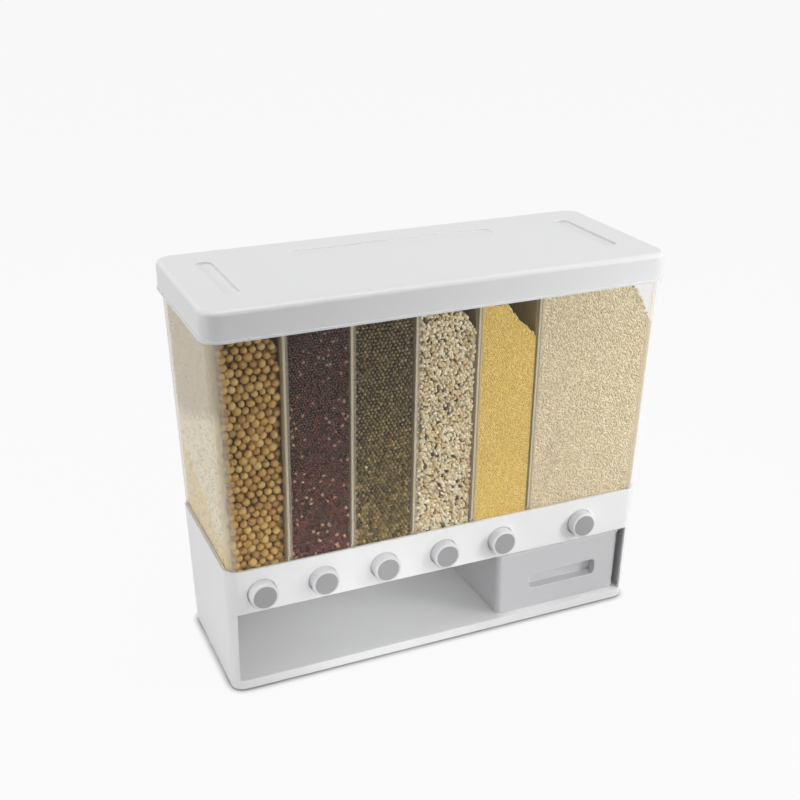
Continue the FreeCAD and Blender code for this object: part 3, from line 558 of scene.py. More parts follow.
@dataclass(frozen=True)
class GrainFinish:
    """Skin of dry grains: each grain has its own colour, and a painted shade tints the heap slowly with
    height, mostly darker towards the top under the lid, with a shift of hue.
    """

    name: str
    colours: tuple[tuple[float, Colour], ...]
    roughness: float = 0.55
    speckle: float = 0.82
    speckle_scale: float = 900.0
    skin_depth: float = 0.05 * MM
    # Tints at the bottom and the top of the heap: painted shade, with a shift of hue.
    painted_shade_bottom: Colour = WHITE
    painted_shade_top: Colour = WHITE
    tint_low: float = 0.12
    tint_high: float = 0.30

    def material(self) -> bpy.types.Material:
        """Builds the finish.

        Returns:
            Its material.
        """
        bench = NodeBench(self.name)
        own = bench.own_number()
        speckles = bench.mottled(bench.noise(self.speckle_scale, 2.0), WHITE, self.speckle, 0.35, 0.6)
        colour = bench.mix(bench.ramp(own, self.colours), speckles, blend="MULTIPLY")
        # Painted shade: the colour is tinted by height, from the bottom tint to the top tint.
        height = bench.spread(bench.part(bench.place, "Z"), 0.0, 1.0, self.tint_low, self.tint_high)
        tint = bench.ramp(height, [(0.0, self.painted_shade_bottom), (1.0, self.painted_shade_top)])
        colour = bench.mix(colour, tint, blend="MULTIPLY")
        return bench.grain_skin(colour, own, self.roughness, self.skin_depth)


@dataclass(frozen=True)
class LayeredGrain:
    """Fine grain against the left wall in three slanting layers."""

    name: str
    top: Colour
    middle: Colour
    bottom: Colour
    lower_line: Boundary = Boundary(148 * MM, 0.43, 10 * MM, 16 * MM)
    upper_line: Boundary = Boundary(219 * MM, -0.357, 14 * MM, 20 * MM)
    roughness: float = 0.58
    skin_depth: float = 0.05 * MM

    def material(self) -> bpy.types.Material:
        """Builds the finish.

        Returns:
            Its material.
        """
        bench = NodeBench(self.name)
        own = bench.own_number()
        layers = [bench.ramp(own, [(0.0, darker(colour, 0.5)), (0.45, colour), (1.0, darker(colour, 1.1))])
                  for colour in (self.bottom, self.middle, self.top)]
        colour = bench.mix(layers[0], layers[1], bench.above(self.lower_line))
        colour = bench.mix(colour, layers[2], bench.above(self.upper_line))
        return bench.grain_skin(colour, own, self.roughness, self.skin_depth)


class Finishes:
    """Every finish's material, made once and handed out by name."""

    def __init__(self) -> None:
        """Starts with no material."""
        self.made: dict[str, bpy.types.Material] = {}

    def of(self, finish: Any) -> bpy.types.Material:
        """The finish's material."""
        if finish.name not in self.made:
            self.made[finish.name] = finish.material()
        return self.made[finish.name]


WHITE_SHELL = MouldedPlastic("satin_white", "white_shell", tone(243, 243, 243), mottle=0.992)
WHITE_LID = MouldedPlastic("lid_white", "white_shell", tone(233, 233, 234), roughness=0.36, mottle=0.994,
                           skin_depth=0.0006 * MM, uneven=0.01)
WHITE_INNER = MouldedPlastic("plain_white", "white_inner", tone(236, 236, 234), roughness=0.5)
BUTTON_FACE = MouldedPlastic("button_grey", "grey_button", tone(165, 164, 165), roughness=0.42, mottle=0.95)
# The button's side: the grey button plastic drawn paler, as painted light on the side that the lamps reach.
BUTTON_PAINTED_LIGHT_SIDE = MouldedPlastic("button_pale", "grey_button", tone(226, 226, 228), roughness=0.3)
CLOUDY_CUP = ClearPlastic("cloudy_cup", "cloudy_cup", tone(240, 240, 242), 0.56, 0.9, roughness=0.24)
# The cup's rounded edges: a paler, more opaque copy of the cup's plastic, a painted highlight.
CUP_PAINTED_EDGE_HIGHLIGHT = ClearPlastic("cloudy_cup_painted_edge_highlight", "cloudy_cup", tone(244, 245, 246), 0.85, 0.98, roughness=0.18)
CLEAR_SHELL = ClearPlastic("clear_shell", "clear_shell", tone(250, 240, 218), 0.02, 0.34, painted_corner_highlight=0.3,
                           rib_veil=0.2)
CLEAR_PANEL = ClearPlastic("clear_panel", "clear_panel", tone(236, 219, 184), 0.58, 0.85, roughness=0.16,
                           edge_colour=tone(214, 199, 166), edge_cover=0.26)
SEAL_RUBBER = SoftRubber("seal_rubber", "seal_rubber", tone(205, 205, 202), tone(222, 222, 219))
FOOT_RUBBER = SoftRubber("foot_rubber", "foot_rubber", tone(52, 52, 53), tone(84, 83, 82))
SPRING_STEEL = DrawnSteel("spring_steel", "spring_steel", tone(200, 200, 202), (1.0, 6.0, 1.0), 0.26)
SCREW_STEEL = DrawnSteel("screw_steel", "screw_steel", tone(206, 206, 204), (1.0, 1.0, 6.0), 0.34)

SOY_SKIN = GrainFinish(
    "soy_skin",
    ((0.0, tone(168, 128, 62)), (0.35, tone(190, 150, 78)), (0.75, tone(206, 168, 96)),
     (1.0, tone(218, 188, 122))),
    roughness=0.36, speckle=0.94, skin_depth=0.02 * MM, painted_shade_bottom=(1.04, 1.0, 0.86),
    painted_shade_top=(0.97, 0.97, 0.98))
# The last two stops make about one grain in twenty pale pink: painted highlights on the dark red grain.
RED_SKIN = GrainFinish(
    "red_skin",
    ((0.0, tone(48, 22, 24)), (0.5, tone(80, 36, 33)), (0.93, tone(106, 50, 42)),
     (0.955, tone(180, 146, 130)), (1.0, tone(198, 174, 158))),
    roughness=0.32, speckle=0.9, skin_depth=0.015 * MM, painted_shade_bottom=(1.34, 1.08, 0.9),
    painted_shade_top=(0.56, 0.54, 0.62))
GREEN_SKIN = GrainFinish(
    "green_skin",
    ((0.0, tone(72, 64, 40)), (0.4, tone(110, 99, 62)), (0.8, tone(136, 123, 82)),
     (1.0, tone(164, 150, 108))),
    roughness=0.34, speckle=0.92, skin_depth=0.01 * MM, painted_shade_bottom=(1.46, 1.26, 0.98),
    painted_shade_top=(0.66, 0.62, 0.68))
CREAM_SKIN = GrainFinish(
    "cream_skin",
    ((0.0, tone(52, 42, 34)), (0.025, tone(70, 56, 44)), (0.035, tone(206, 180, 134)),
     (0.4, tone(236, 217, 176)), (0.8, tone(246, 235, 204)), (1.0, tone(250, 244, 224))),
    roughness=0.5, speckle=0.9)
MILLET_SKIN = GrainFinish(
    "millet_skin",
    ((0.0, tone(236, 202, 108)), (0.4, tone(245, 217, 124)), (0.8, tone(249, 224, 139)),
     (1.0, tone(252, 234, 160))),
    roughness=0.5, speckle=0.96, painted_shade_bottom=(1.0, 0.99, 0.95))
RICE_SKIN = GrainFinish(
    "rice_skin",
    ((0.0, tone(220, 204, 166)), (0.4, tone(237, 222, 188)), (0.8, tone(243, 230, 199)),
     (1.0, tone(248, 239, 216))),
    roughness=0.45, speckle=0.95)
STRAY_SKIN = GrainFinish("stray_skin", ((0.0, tone(226, 214, 168)), (1.0, tone(232, 222, 180))),
                         roughness=0.4)
SIDE_LAYERS = LayeredGrain("side_layers", tone(178, 154, 102), tone(250, 236, 200), tone(246, 212, 108))


def placed(name: str, mesh: bpy.types.Mesh) -> Piece:
    """A mesh as a smooth object at the origin, linked into the scene.

    Args:
        name: The piece's name.
        mesh: The mesh.

    Returns:
        The object.
    """
    mesh.polygons.foreach_set("use_smooth", np.ones(len(mesh.polygons), dtype=bool))
    made = bpy.data.objects.new(name, mesh)
    bpy.context.scene.collection.objects.link(made)
    return made


def mesh_object(name: str, points: np.ndarray, faces: np.ndarray) -> Piece:
    """A smooth triangle mesh as an object at the origin.

    Args:
        name: The piece's name.
        points: Its points, one to a row.
        faces: Its triangles, as rows of point numbers.

    Returns:
        The object.
    """
    mesh = bpy.data.meshes.new(name)
    mesh.vertices.add(len(points))
    mesh.vertices.foreach_set("co", points.astype(np.float32).ravel())
    mesh.loops.add(faces.size)
    mesh.loops.foreach_set("vertex_index", faces.astype(np.int32).ravel())
    mesh.polygons.add(len(faces))
    mesh.polygons.foreach_set("loop_start", np.arange(0, faces.size, 3, dtype=np.int32))
    mesh.update(calc_edges=True)
    return placed(name, mesh)


def object_from(name: str, shape: bmesh.types.BMesh, crease: float = 40.0) -> Piece:
    """Turns mesh code's result into an object at the origin.

    Args:
        name: The piece's name.
        shape: The finished mesh, which is freed.
        crease: Angle in degrees from which an edge stays sharp.

    Returns:
        The object.
    """
    mesh = bpy.data.meshes.new(name)
    shape.to_mesh(mesh)
    shape.free()
    made = placed(name, mesh)
    mesh.set_sharp_from_angle(angle=math.radians(crease))
    return made


def band(shape: bmesh.types.BMesh, rings: Sequence[Sequence[bmesh.types.BMVert]]) -> None:
    """Joins each ring of corners to the next.

    Args:
        shape: The mesh that they are in.
        rings: The rings, each with as many corners.
    """
    for before, after in zip(rings, rings[1:]):
        for index, corner in enumerate(before):
            follower = (index + 1) % len(before)
            shape.faces.new((corner, before[follower], after[follower], after[index]))


def dress(piece: Piece, *materials: bpy.types.Material) -> None:
    """Gives a piece its materials.

    Args:
        piece: The piece.
        *materials: The materials, in the order of its slots.
    """
    for index, material in enumerate(materials):
        if index < len(piece.material_slots):
            piece.material_slots[index].material = material
        else:
            piece.data.materials.append(material)


def softened(source: Piece, name: str, radius: float, edge_slot: int = -1,
             weld: float = 0.002 * MM, flat: float = 0.4, sharp: float = 38.0) -> Piece:
    """A copy of a node's mesh whose sharp edges are rounded over.

    Args:
        source: The node's object.
        name: The new piece's name.
        radius: How wide each edge is rounded.
        edge_slot: Number of the rounded edges' own material, or -1 for that of their sides.
        weld: Corners closer than this become one.
        flat: Angle in degrees up to which two faces become one.
        sharp: Angle in degrees from which an edge is rounded.

    Returns:
        The new piece.
    """
    shape = bmesh.new()
    shape.from_mesh(source.data)
    bmesh.ops.remove_doubles(shape, verts=shape.verts, dist=weld)
    bmesh.ops.dissolve_limit(shape, angle_limit=math.radians(flat), verts=shape.verts, edges=shape.edges)
    rounded = [edge for edge in shape.edges
               if len(edge.link_faces) == 2 and edge.calc_face_angle(0.0) > math.radians(sharp)]
    bmesh.ops.bevel(shape, geom=rounded, offset=radius, segments=2, profile=0.5, affect="EDGES",
                    clamp_overlap=True, material=edge_slot)
    made = object_from(name, shape)
    weights = made.modifiers.new("even_flats", "WEIGHTED_NORMAL")
    weights.keep_sharp = True
    return made


class GrainShape(Enum):
    """How a grain is formed."""

    ROUND = "round"
    CREASED = "creased"
    POINTED = "pointed"


@dataclass(frozen=True)
class Grain:
    """One kind of grain: its form, half sizes and how closely it lies."""

    shape: GrainShape
    half_length: float
    half_width: float
    half_height: float
    detail: int
    spacing: float
    settle_rounds: int = 0
    tumble: float = 0.35
    vary: float = 0.08
    smallest: float = -0.2
    largest: float = 0.16
    stray: float = 0.17
    loose: float = 0.35
    crease: float = 0.22
    crease_width: float = 0.3
    taper: float = 0.3

    def plainer(self) -> Grain:
        """The same grain in fewer faces, for where others half hide it."""
        return replace(self, detail=max(1, self.detail - 1))

    def unit_form(self) -> tuple[np.ndarray, np.ndarray]:
        """The grain with half sizes of 1.

        Returns:
            Its points and its triangles.
        """
        ball = bmesh.new()
        bmesh.ops.create_icosphere(ball, subdivisions=self.detail, radius=1.0)
        points = np.array([corner.co[:] for corner in ball.verts])
        faces = np.array([[corner.index for corner in face.verts] for face in ball.faces])
        ball.free()
        along, across, up = points[:, 0], points[:, 1], points[:, 2]
        if self.shape is GrainShape.CREASED:
            dent = self.crease * np.exp(-(across / self.crease_width) ** 2) * np.clip(up, 0.0, 1.0)
            points = np.stack([along, across, up - dent], axis=1)
        if self.shape is GrainShape.POINTED:
            narrow = 1.0 - self.taper * np.abs(along) ** 3
            points = np.stack([along, across * narrow, up * narrow], axis=1)
        return points, faces


SOYBEAN = Grain(GrainShape.ROUND, 3.35 * MM, 3.1 * MM, 3.0 * MM, 3, 6.8 * MM, settle_rounds=8, vary=0.12,
                loose=0.8)
RED_GRAIN = Grain(GrainShape.POINTED, 1.7 * MM, 1.25 * MM, 1.15 * MM, 2, 2.6 * MM, settle_rounds=3,
                  tumble=0.6)
MUNG_BEAN = Grain(GrainShape.ROUND, 1.6 * MM, 1.48 * MM, 1.45 * MM, 2, 3.25 * MM, settle_rounds=5, vary=0.1)
CREAM_GRAIN = Grain(GrainShape.CREASED, 2.15 * MM, 1.5 * MM, 1.35 * MM, 2, 3.0 * MM, tumble=0.9, vary=0.14,
                    loose=0.25)
MILLET = Grain(GrainShape.ROUND, 1.0 * MM, 0.95 * MM, 0.9 * MM, 1, 1.65 * MM, tumble=1.0, loose=0.2)
RICE = Grain(GrainShape.POINTED, 2.2 * MM, 0.95 * MM, 0.85 * MM, 1, 2.0 * MM, tumble=0.4, loose=0.1)
FINE_GRAIN = Grain(GrainShape.POINTED, 1.9 * MM, 1.2 * MM, 1.1 * MM, 1, 2.5 * MM, tumble=0.7)


@dataclass
class Heap:
    """Grains placed one by one, gathered until they become one mesh."""

    grain: Grain
    seed: int
    row_rise: float = 0.866
    snug: float = 0.98
    push_share: float = 0.35
    centres: list[np.ndarray] = field(default_factory=list)
    turns: list[np.ndarray] = field(default_factory=list)
    sizes: list[np.ndarray] = field(default_factory=list)

    def __post_init__(self) -> None:
        """Sets up the heap's own random draws."""
        self.draws = np.random.default_rng(self.seed)

    def scatter(self, width: float, height: float) -> np.ndarray:
        """Points over a rectangle about one spacing apart, not in rows.

        Args:
            width: Its width.
            height: Its height.

        Returns:
            The points, from 0 to the width and height.
        """
        step = self.grain.spacing
        columns = max(1, int(round(width / step)))
        rows = max(1, int(round(height / (step * self.row_rise))))
        across, up = np.meshgrid(np.arange(columns), np.arange(rows))
        shifted = (across + 0.5 * (up % 2) + 0.25) * step
        points = np.stack([shifted, (up + 0.5) * step * self.row_rise], axis=-1).reshape(-1, 2)
        points += self.draws.normal(0.0, self.grain.stray * step, points.shape)
        for _ in range(self.grain.settle_rounds):
            gaps = points[:, None, :] - points[None, :, :]
            far = np.sqrt((gaps ** 2).sum(-1)) + np.eye(len(points))
            push = np.clip(step * self.snug - far, 0.0, None) * (1 - np.eye(len(points)))
            points += self.push_share * (gaps / far[..., None] * push[..., None]).sum(1)
        inside = (points > 0).all(1) & (points[:, 0] < width) & (points[:, 1] < height)
        return points[inside]

    def lay(self, places: np.ndarray, inward: np.ndarray, gap: float, sink: float,
            upward: np.ndarray = UPWARD) -> None:
        """Lays grains against a surface.

        Args:
            places: Points on the surface.
            inward: The surface's normals, towards the heap.
            gap: Least gap from a grain to the surface.
            sink: Most that a grain lies deeper than it has to.
            upward: A direction in the surface.
        """
        count = len(places)
        if count == 0:
            return
        grain = self.grain
        turn = self.draws.uniform(0, 2 * math.pi, count)[:, None]
        side = np.cross(inward, upward)
        tumble = self.draws.normal(0, grain.tumble, (count, 2))
        first = unit(np.cos(turn) * upward + np.sin(turn) * side + tumble[:, :1] * inward)
        third = inward + tumble[:, 1:] * side
        third = unit(third - (third * first).sum(1, keepdims=True) * first)
        turned = np.stack([first, np.cross(third, first), third], axis=2)
        size = np.array([grain.half_length, grain.half_width, grain.half_height])
        growth = np.clip(self.draws.normal(0, grain.vary, (count, 1)), grain.smallest, grain.largest)
        size = size * (1 + growth)
        reach = np.sqrt((((turned * inward[:, :, None]).sum(1) * size) ** 2).sum(1))
        deep = gap + reach + self.draws.uniform(0, sink, count)
        self.centres.append(places + inward * deep[:, None])
        self.turns.append(turned)
        self.sizes.append(size)

    def piece(self, name: str) -> Piece:
        """All the grains as one piece.

        Args:
            name: The piece's name.

        Returns:
            The piece.
        """
        points, faces = self.grain.unit_form()
        centres, turns, sizes = (np.concatenate(group) for group in (self.centres, self.turns, self.sizes))
        grains = np.einsum("nij,nvj->nvi", turns, points[None] * sizes[:, None, :]) + centres[:, None, :]
        numbers = faces[None] + (np.arange(len(centres)) * len(points))[:, None, None]
        LOG.info("%s: %d grains", name, len(centres))
        return mesh_object(name, grains.reshape(-1, 3), numbers.reshape(-1, 3))


class Wall(Enum):
    """The hopper's four walls, as the axis that each stands across and the side of the middle it is on."""

    LEFT = (0, -1.0)
    RIGHT = (0, 1.0)
    FRONT = (1, -1.0)
    BACK = (1, 1.0)


@dataclass(frozen=True)
class HopperSpace:
    """The room inside the hopper, whose width and depth are given in that order at its foot and its rim."""

    rim: float
    foot: float
    low: tuple[float, float] = (368.6 * MM, 133.2 * MM)
    top: tuple[float, float] = (378.8 * MM, 147.6 * MM)
    wall: float = 2.0 * MM
    corner: float = 9.5 * MM
    corner_share: float = 0.71
    rib_depth: float = 4.2 * MM
    panel_half: float = 1.0 * MM

    def half(self, axis: int, height: np.ndarray) -> np.ndarray:
        """Half the inner width, axis 0, or depth, axis 1, at a height."""
        share = (height - self.foot) / (self.rim - self.foot)
        return self.low[axis] / 2 + (self.top[axis] - self.low[axis]) / 2 * share - self.wall

    def at_rim(self, axis: int) -> float:
        """Half the inner width, axis 0, or depth, axis 1, at the rim."""
        return self.half(axis, np.array([self.rim]))[0]

    def on_wall(self, wall: Wall, along: np.ndarray, height: np.ndarray) -> tuple[np.ndarray, np.ndarray]:
        """Points and inward normals on a wall, round its corners too.

        Args:
            wall: The wall.
            along: Places along it.
            height: Heights.

        Returns:
            The points and the normals.
        """
        axis, sign = wall.value
        straight = self.half(1 - axis, height) - self.corner
        over = np.clip(np.abs(along) - straight, 0.0, self.corner * self.corner_share)
        lean = np.arcsin(over / self.corner)
        out = self.half(axis, height) - self.corner * (1 - np.cos(lean))
        slope = (self.top[axis] - self.low[axis]) / 2 / (self.rim - self.foot)
        order = 1 if axis == 0 else -1
        places = [sign * out, along][::order]
        turned = [-sign * np.cos(lean), -np.sign(along) * np.sin(lean)][::order]
        normals = np.stack([*turned, np.full_like(along, slope)], axis=1)
        return np.stack([*places, height], axis=1), unit(normals)


@dataclass(frozen=True)
class Filling:
    """What one compartment holds and how high it is heaped, as drops below the hopper's rim."""

    name: str
    grain: Grain
    finish: GrainFinish
    crest: tuple[tuple[float, float], ...]
    layers: int = 2
    # Share of the grain colour kept on the heap's core, as painted shade.
    depth_shade: float = 0.3


@dataclass
class Compartment:
    """One compartment between two dividers or end walls, with its grain.

    Rooms, steps, drops and sinks are shares of a grain's half size, of the hopper's corner or of an inset.
    """

    space: HopperSpace
    number: int
    left: Optional[float]
    right: Optional[float]
    filling: Filling
    floor: float
    gap: float = 0.25 * MM
    panel_gap: float = 0.1 * MM
    side_strip: float = 16 * MM
    ripple: float = 1.2 * MM
    ripple_rate: float = 310.0
    slope_step: float = 0.5 * MM
    side_room: float = 0.9
    crest_room: float = 0.6
    corner_room: float = 0.3
    layer_step: float = 1.5
    inner_sink: float = 0.9
    panel_sink: float = 0.3
    top_sink: float = 0.5
    core_drop: float = 1.2

    def limits(self, height: np.ndarray, margin: float) -> tuple[np.ndarray, np.ndarray]:
        """The compartment's left and right limits at a height, less a margin.

        Args:
            height: Heights.
            margin: Room kept free at each side.

        Returns:
            The two limits.
        """
        wide = self.space.half(0, height)
        low = -wide + margin if self.left is None else np.full_like(height, self.left + margin)
        high = wide - margin if self.right is None else np.full_like(height, self.right - margin)
        return low, high

    def top(self, across: np.ndarray) -> np.ndarray:
        """The heap's height.

        Args:
            across: Places along X.

        Returns:
            The height at each.
        """
        low, high = self.limits(np.full_like(across, self.space.rim), 0.0)
        share = (across - low) / (high - low)
        shares, drops = zip(*self.filling.crest)
        ripple = self.ripple * np.sin(across * self.ripple_rate + self.number)
        return self.space.rim - np.interp(share, shares, drops) + ripple

    def spots(self, heap: Heap, start: float, width: float) -> tuple[np.ndarray, np.ndarray]:
        """Places for grains over an upright strip, as distances from the start, and heights."""
        found = heap.scatter(width, self.space.rim - self.floor)
        return found[:, 0] + start, found[:, 1] + self.floor

    def lay_on_wall(self, heap: Heap, wall: Wall, along: np.ndarray, height: np.ndarray, layer: int) -> None:
        """Lays grains on a wall.

        Args:
            heap: The heap they go to.
            wall: The wall.
            along: Their places along it.
            height: Their heights.
            layer: 0 for the grains at the wall.
        """
        grain = heap.grain
        points, normals = self.space.on_wall(wall, along, height)
        depth = self.gap + layer * grain.half_height * self.layer_step
        heap.lay(points, normals, depth, grain.half_height * (self.inner_sink if layer else grain.loose))

    def fill_long_wall(self, heap: Heap, wall: Wall, layer: int) -> None:
        """Lays one layer of grains along the front or back wall.

        Args:
            heap: The heap they go to.
            wall: The wall.
            layer: 0 for the grains at the wall.
        """
        grain = heap.grain
        wide = self.space.at_rim(0)
        start = -wide if self.left is None else self.left
        end = wide if self.right is None else self.right
        across, height = self.spots(heap, start, end - start)
        side = self.space.panel_half if layer else RIB_HALF
        low, high = self.limits(height, side + grain.half_width * self.side_room)
        corner = self.space.half(0, height) - self.corner_room * self.space.corner
        if self.left is None:
            low = -corner
        if self.right is None:
            high = corner
        crest = self.top(across) - grain.half_width * self.crest_room
        keep = (across > low) & (across < high) & (height < crest)
        self.lay_on_wall(heap, wall, across[keep], height[keep], layer)

    def fill_end_wall(self, heap: Heap, wall: Wall) -> None:
        """Lays grains along the left or right wall.

        Args:
            heap: The heap they go to.
            wall: The wall.
        """
        deep = self.space.at_rim(1)
        along, height = self.spots(heap, -deep, 2 * deep)
        limit = self.space.half(1, height) - self.corner_room * self.space.corner
        end = wall.value[1] * self.space.half(0, height)
        crest = self.top(end) - heap.grain.half_width * self.crest_room
        keep = (np.abs(along) < limit) & (height < crest)
        self.lay_on_wall(heap, wall, along[keep], height[keep], 0)

    def fill_beside_panel(self, heap: Heap, right: bool, wall: Wall) -> None:
        """Lays grains against a divider near a long wall, where they show through its edge.

        Args:
            heap: The heap they go to.
            right: True for the divider at the right.
            wall: The front or back wall.
        """
        grain = heap.grain
        inner, height = self.spots(heap, self.space.rib_depth, self.side_strip)
        along = wall.value[1] * (self.space.half(1, height) - inner - grain.half_width)
        panel, face = (self.right, -1.0) if right else (self.left, 1.0)
        across = np.full_like(height, panel + face * self.space.panel_half)
        keep = height < self.top(across) - grain.half_width
        points = np.stack([across, along, height], axis=1)[keep]
        normals = np.tile([face, 0.0, 0.0], (len(points), 1))
        heap.lay(points, normals, self.panel_gap, grain.half_height * self.panel_sink)

    def fill_top(self, heap: Heap) -> None:
        """Lays grains over the crest.

        Args:
            heap: The heap they go to.
        """
        grain = heap.grain
        margin = self.space.panel_half + grain.half_width
        low, high = (limit[0] for limit in self.limits(np.array([self.space.rim]), margin))
        deep = self.space.at_rim(1)
        spots = heap.scatter(high - low, 2 * deep)
        across, along = spots[:, 0] + low, spots[:, 1] - deep
        height = self.top(across)
        limit = self.space.half(1, height) - grain.half_length
        low_here, high_here = self.limits(height, margin)
        keep = (np.abs(along) < limit) & (across > low_here) & (across < high_here)
        step = self.slope_step
        slope = ((self.top(across + step) - self.top(across - step)) / (2 * step))[keep]
        normals = unit(np.stack([slope, np.zeros_like(slope), -np.ones_like(slope)], axis=1))
        points = np.stack([across, along, height], axis=1)[keep]
        heap.lay(points, normals, 0.0, grain.half_height * self.top_sink, BACKWARD)

    def core(self, inset: float, columns: int = 14) -> Piece:
        """The heap's inside behind the outer grains, a closed sheet that carries a painted shade.

        Args:
            inset: How far it lies behind them.
            columns: Steps along X that follow the crest.

        Returns:
            The piece.
        """
        shape = bmesh.new()
        rings = []
        margin = inset + self.space.panel_half
        foot = np.array([self.floor])
        low, high = self.limits(np.array([self.space.rim]), margin)
        for step in range(columns + 1):
            share = step / columns
            crest = self.top(low + (high - low) * share) - inset * self.core_drop
            ring = []
            for height in (foot, crest):
                left, right = self.limits(height, margin)
                across = (left + (right - left) * share)[0]
                deep = (self.space.half(1, height) - inset)[0]
                ring += [shape.verts.new((across, side, height[0])) for side in (-deep, deep)]
            rings.append([ring[index] for index in (0, 1, 3, 2)])
        band(shape, rings)
        shape.faces.new([rings[0][index] for index in (0, 3, 2, 1)])
        shape.faces.new(rings[-1])
        bmesh.ops.recalc_face_normals(shape, faces=shape.faces)
        return object_from("heap_core_%d" % self.number, shape)


@dataclass
class Contents:
    """The six fillings, seen through the hopper's walls."""

    finishes: Finishes
    space: HopperSpace
    floor: float = 107.0 * MM
    fillings: tuple[Filling, ...] = (
        Filling("soybeans", SOYBEAN, SOY_SKIN, ((0, 0.013), (0.62, 0.013), (0.84, 0.022), (1, 0.034))),
        Filling("red_grain", RED_GRAIN, RED_SKIN, ((0, 0.012), (0.8, 0.013), (1, 0.020))),
        Filling("mung_beans", MUNG_BEAN, GREEN_SKIN, ((0, 0.011), (0.8, 0.012), (1, 0.022))),
        Filling("cream_grain", CREAM_GRAIN, CREAM_SKIN,
                ((0, 0.014), (0.55, 0.016), (0.8, 0.026), (1, 0.040))),
        Filling("millet", MILLET, MILLET_SKIN, ((0, 0.018), (0.42, 0.020), (1, 0.054)), 1, 0.8),
        Filling("rice", RICE, RICE_SKIN,
                ((0, 0.014), (0.68, 0.015), (0.8, 0.022), (0.96, 0.052), (1, 0.056)), 1, 0.8),
    )
    core_inset: float = 1.1
    core_roughness: float = 0.8
    stray_across: float = -68.5 * MM
    stray_height: float = 181 * MM
    stray_gap: float = 0.1 * MM
    seed_step: int = 100
    inner_seed: int = 10
    top_seed: int = 2
    end_seed: int = 3
    side_seed: int = 50
    stray_seed: int = 60

    def cell(self, index: int) -> Compartment:
        """One compartment.

        Args:
            index: Its number, counted from 0 at the left.

        Returns:
            The compartment.
        """
        left = FIRST_DIVIDER + (index - 1) * DIVIDER_PITCH if index > 0 else None
        right = FIRST_DIVIDER + index * DIVIDER_PITCH if index < DIVIDERS else None
        return Compartment(self.space, index + 1, left, right, self.fillings[index], self.floor)

    def finish_piece(self, piece: Piece, finish: Any) -> None:
        """Dresses a filling's piece and sets it riding on the base."""
        dress(piece, self.finishes.of(finish))
        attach(piece, Body.BASE.value)

    def build(self) -> None:
        """Builds every compartment's filling."""
        for index in range(len(self.fillings)):
            self.fill(self.cell(index))
        self.side_layer()
        self.stray()

    def fill(self, cell: Compartment) -> None:
        """Builds one compartment's heaps and core.

        Args:
            cell: The compartment.
        """
        filling = cell.filling
        seed = cell.number * self.seed_step
        for turn, (wall, side) in enumerate(((Wall.FRONT, "front"), (Wall.BACK, "back"))):
            outer = Heap(filling.grain, seed + turn)
            cell.fill_long_wall(outer, wall, 0)
            self.finish_piece(outer.piece("%s_%s" % (filling.name, side)), filling.finish)
            inner = Heap(filling.grain.plainer(), seed + self.inner_seed + turn)
            if filling.layers > 1:
                cell.fill_long_wall(inner, wall, 1)
            for right, panel in ((False, cell.left), (True, cell.right)):
                if panel is not None:
                    cell.fill_beside_panel(inner, right, wall)
            self.finish_piece(inner.piece("%s_%s_inner" % (filling.name, side)), filling.finish)
        crown = Heap(filling.grain, seed + self.top_seed)
        cell.fill_top(crown)
        self.finish_piece(crown.piece(filling.name + "_top"), filling.finish)
        if cell.right is None:
            end = Heap(filling.grain, seed + self.end_seed)
            cell.fill_end_wall(end, Wall.RIGHT)
            self.finish_piece(end.piece(filling.name + "_end"), filling.finish)
        # The core's finish is the grains' colours darkened by depth_shade: painted shade for the grains
        # deeper in the heap.
        inset = filling.grain.half_height * (self.core_inset * filling.layers) + cell.gap
        middle_stops = filling.finish.colours[1:3]
        shades = tuple((stop, darker(colour, filling.depth_shade)) for stop, colour in middle_stops)
        shade = GrainFinish(filling.name + "_shade", shades, roughness=self.core_roughness)
        self.finish_piece(cell.core(inset), shade)

    def side_layer(self) -> None:
        """Builds the fine grain that lies against the left wall."""
        heap = Heap(FINE_GRAIN, self.side_seed)
        self.cell(0).fill_end_wall(heap, Wall.LEFT)
        self.finish_piece(heap.piece("side_layers"), SIDE_LAYERS)

    def stray(self) -> None:
        """Builds the one pale seed among the mung beans."""
        heap = Heap(MUNG_BEAN, self.stray_seed)
        spot, height = np.array([self.stray_across]), np.array([self.stray_height])
        heap.lay(*self.space.on_wall(Wall.FRONT, spot, height), self.stray_gap, 0.0)
        self.finish_piece(heap.piece("stray_seed"), STRAY_SKIN)


@dataclass
class SubAssembly:
    """What every sub-assembly works with: the finishes and the frame's nodes."""

    finishes: Finishes
    nodes: dict[str, Piece]

    def dress_nodes(self, finish: Any, *names: str) -> None:
        """Gives a finish to nodes that keep their own form."""
        for name in names:
            dress(self.nodes[name], self.finishes.of(finish))


@dataclass
class Lid(SubAssembly):
    """Lift-off lid: its node's form with softened edges, and the seal under it."""

    edge: float = 0.6 * MM

    def build(self) -> None:
        """Builds the lid's piece and dresses the seal."""
        shell = softened(self.nodes["lid"], "lid_shell", self.edge)
        dress(shell, self.finishes.of(WHITE_LID))
        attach(shell, Body.LID.value)
        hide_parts("lid")
        self.dress_nodes(SEAL_RUBBER, "lid_seal")
        LOG.info("lid: %d faces", len(shell.data.polygons))


@dataclass
class Hopper(SubAssembly):
    """Clear hopper shell and its five dividers."""

    def build(self) -> None:
        """Dresses the shell and the dividers."""
        self.dress_nodes(CLEAR_SHELL, "hopper")
        self.dress_nodes(CLEAR_PANEL, *["divider_%d" % (index + 1) for index in range(DIVIDERS)])
        LOG.info("hopper: shell and %d dividers", DIVIDERS)


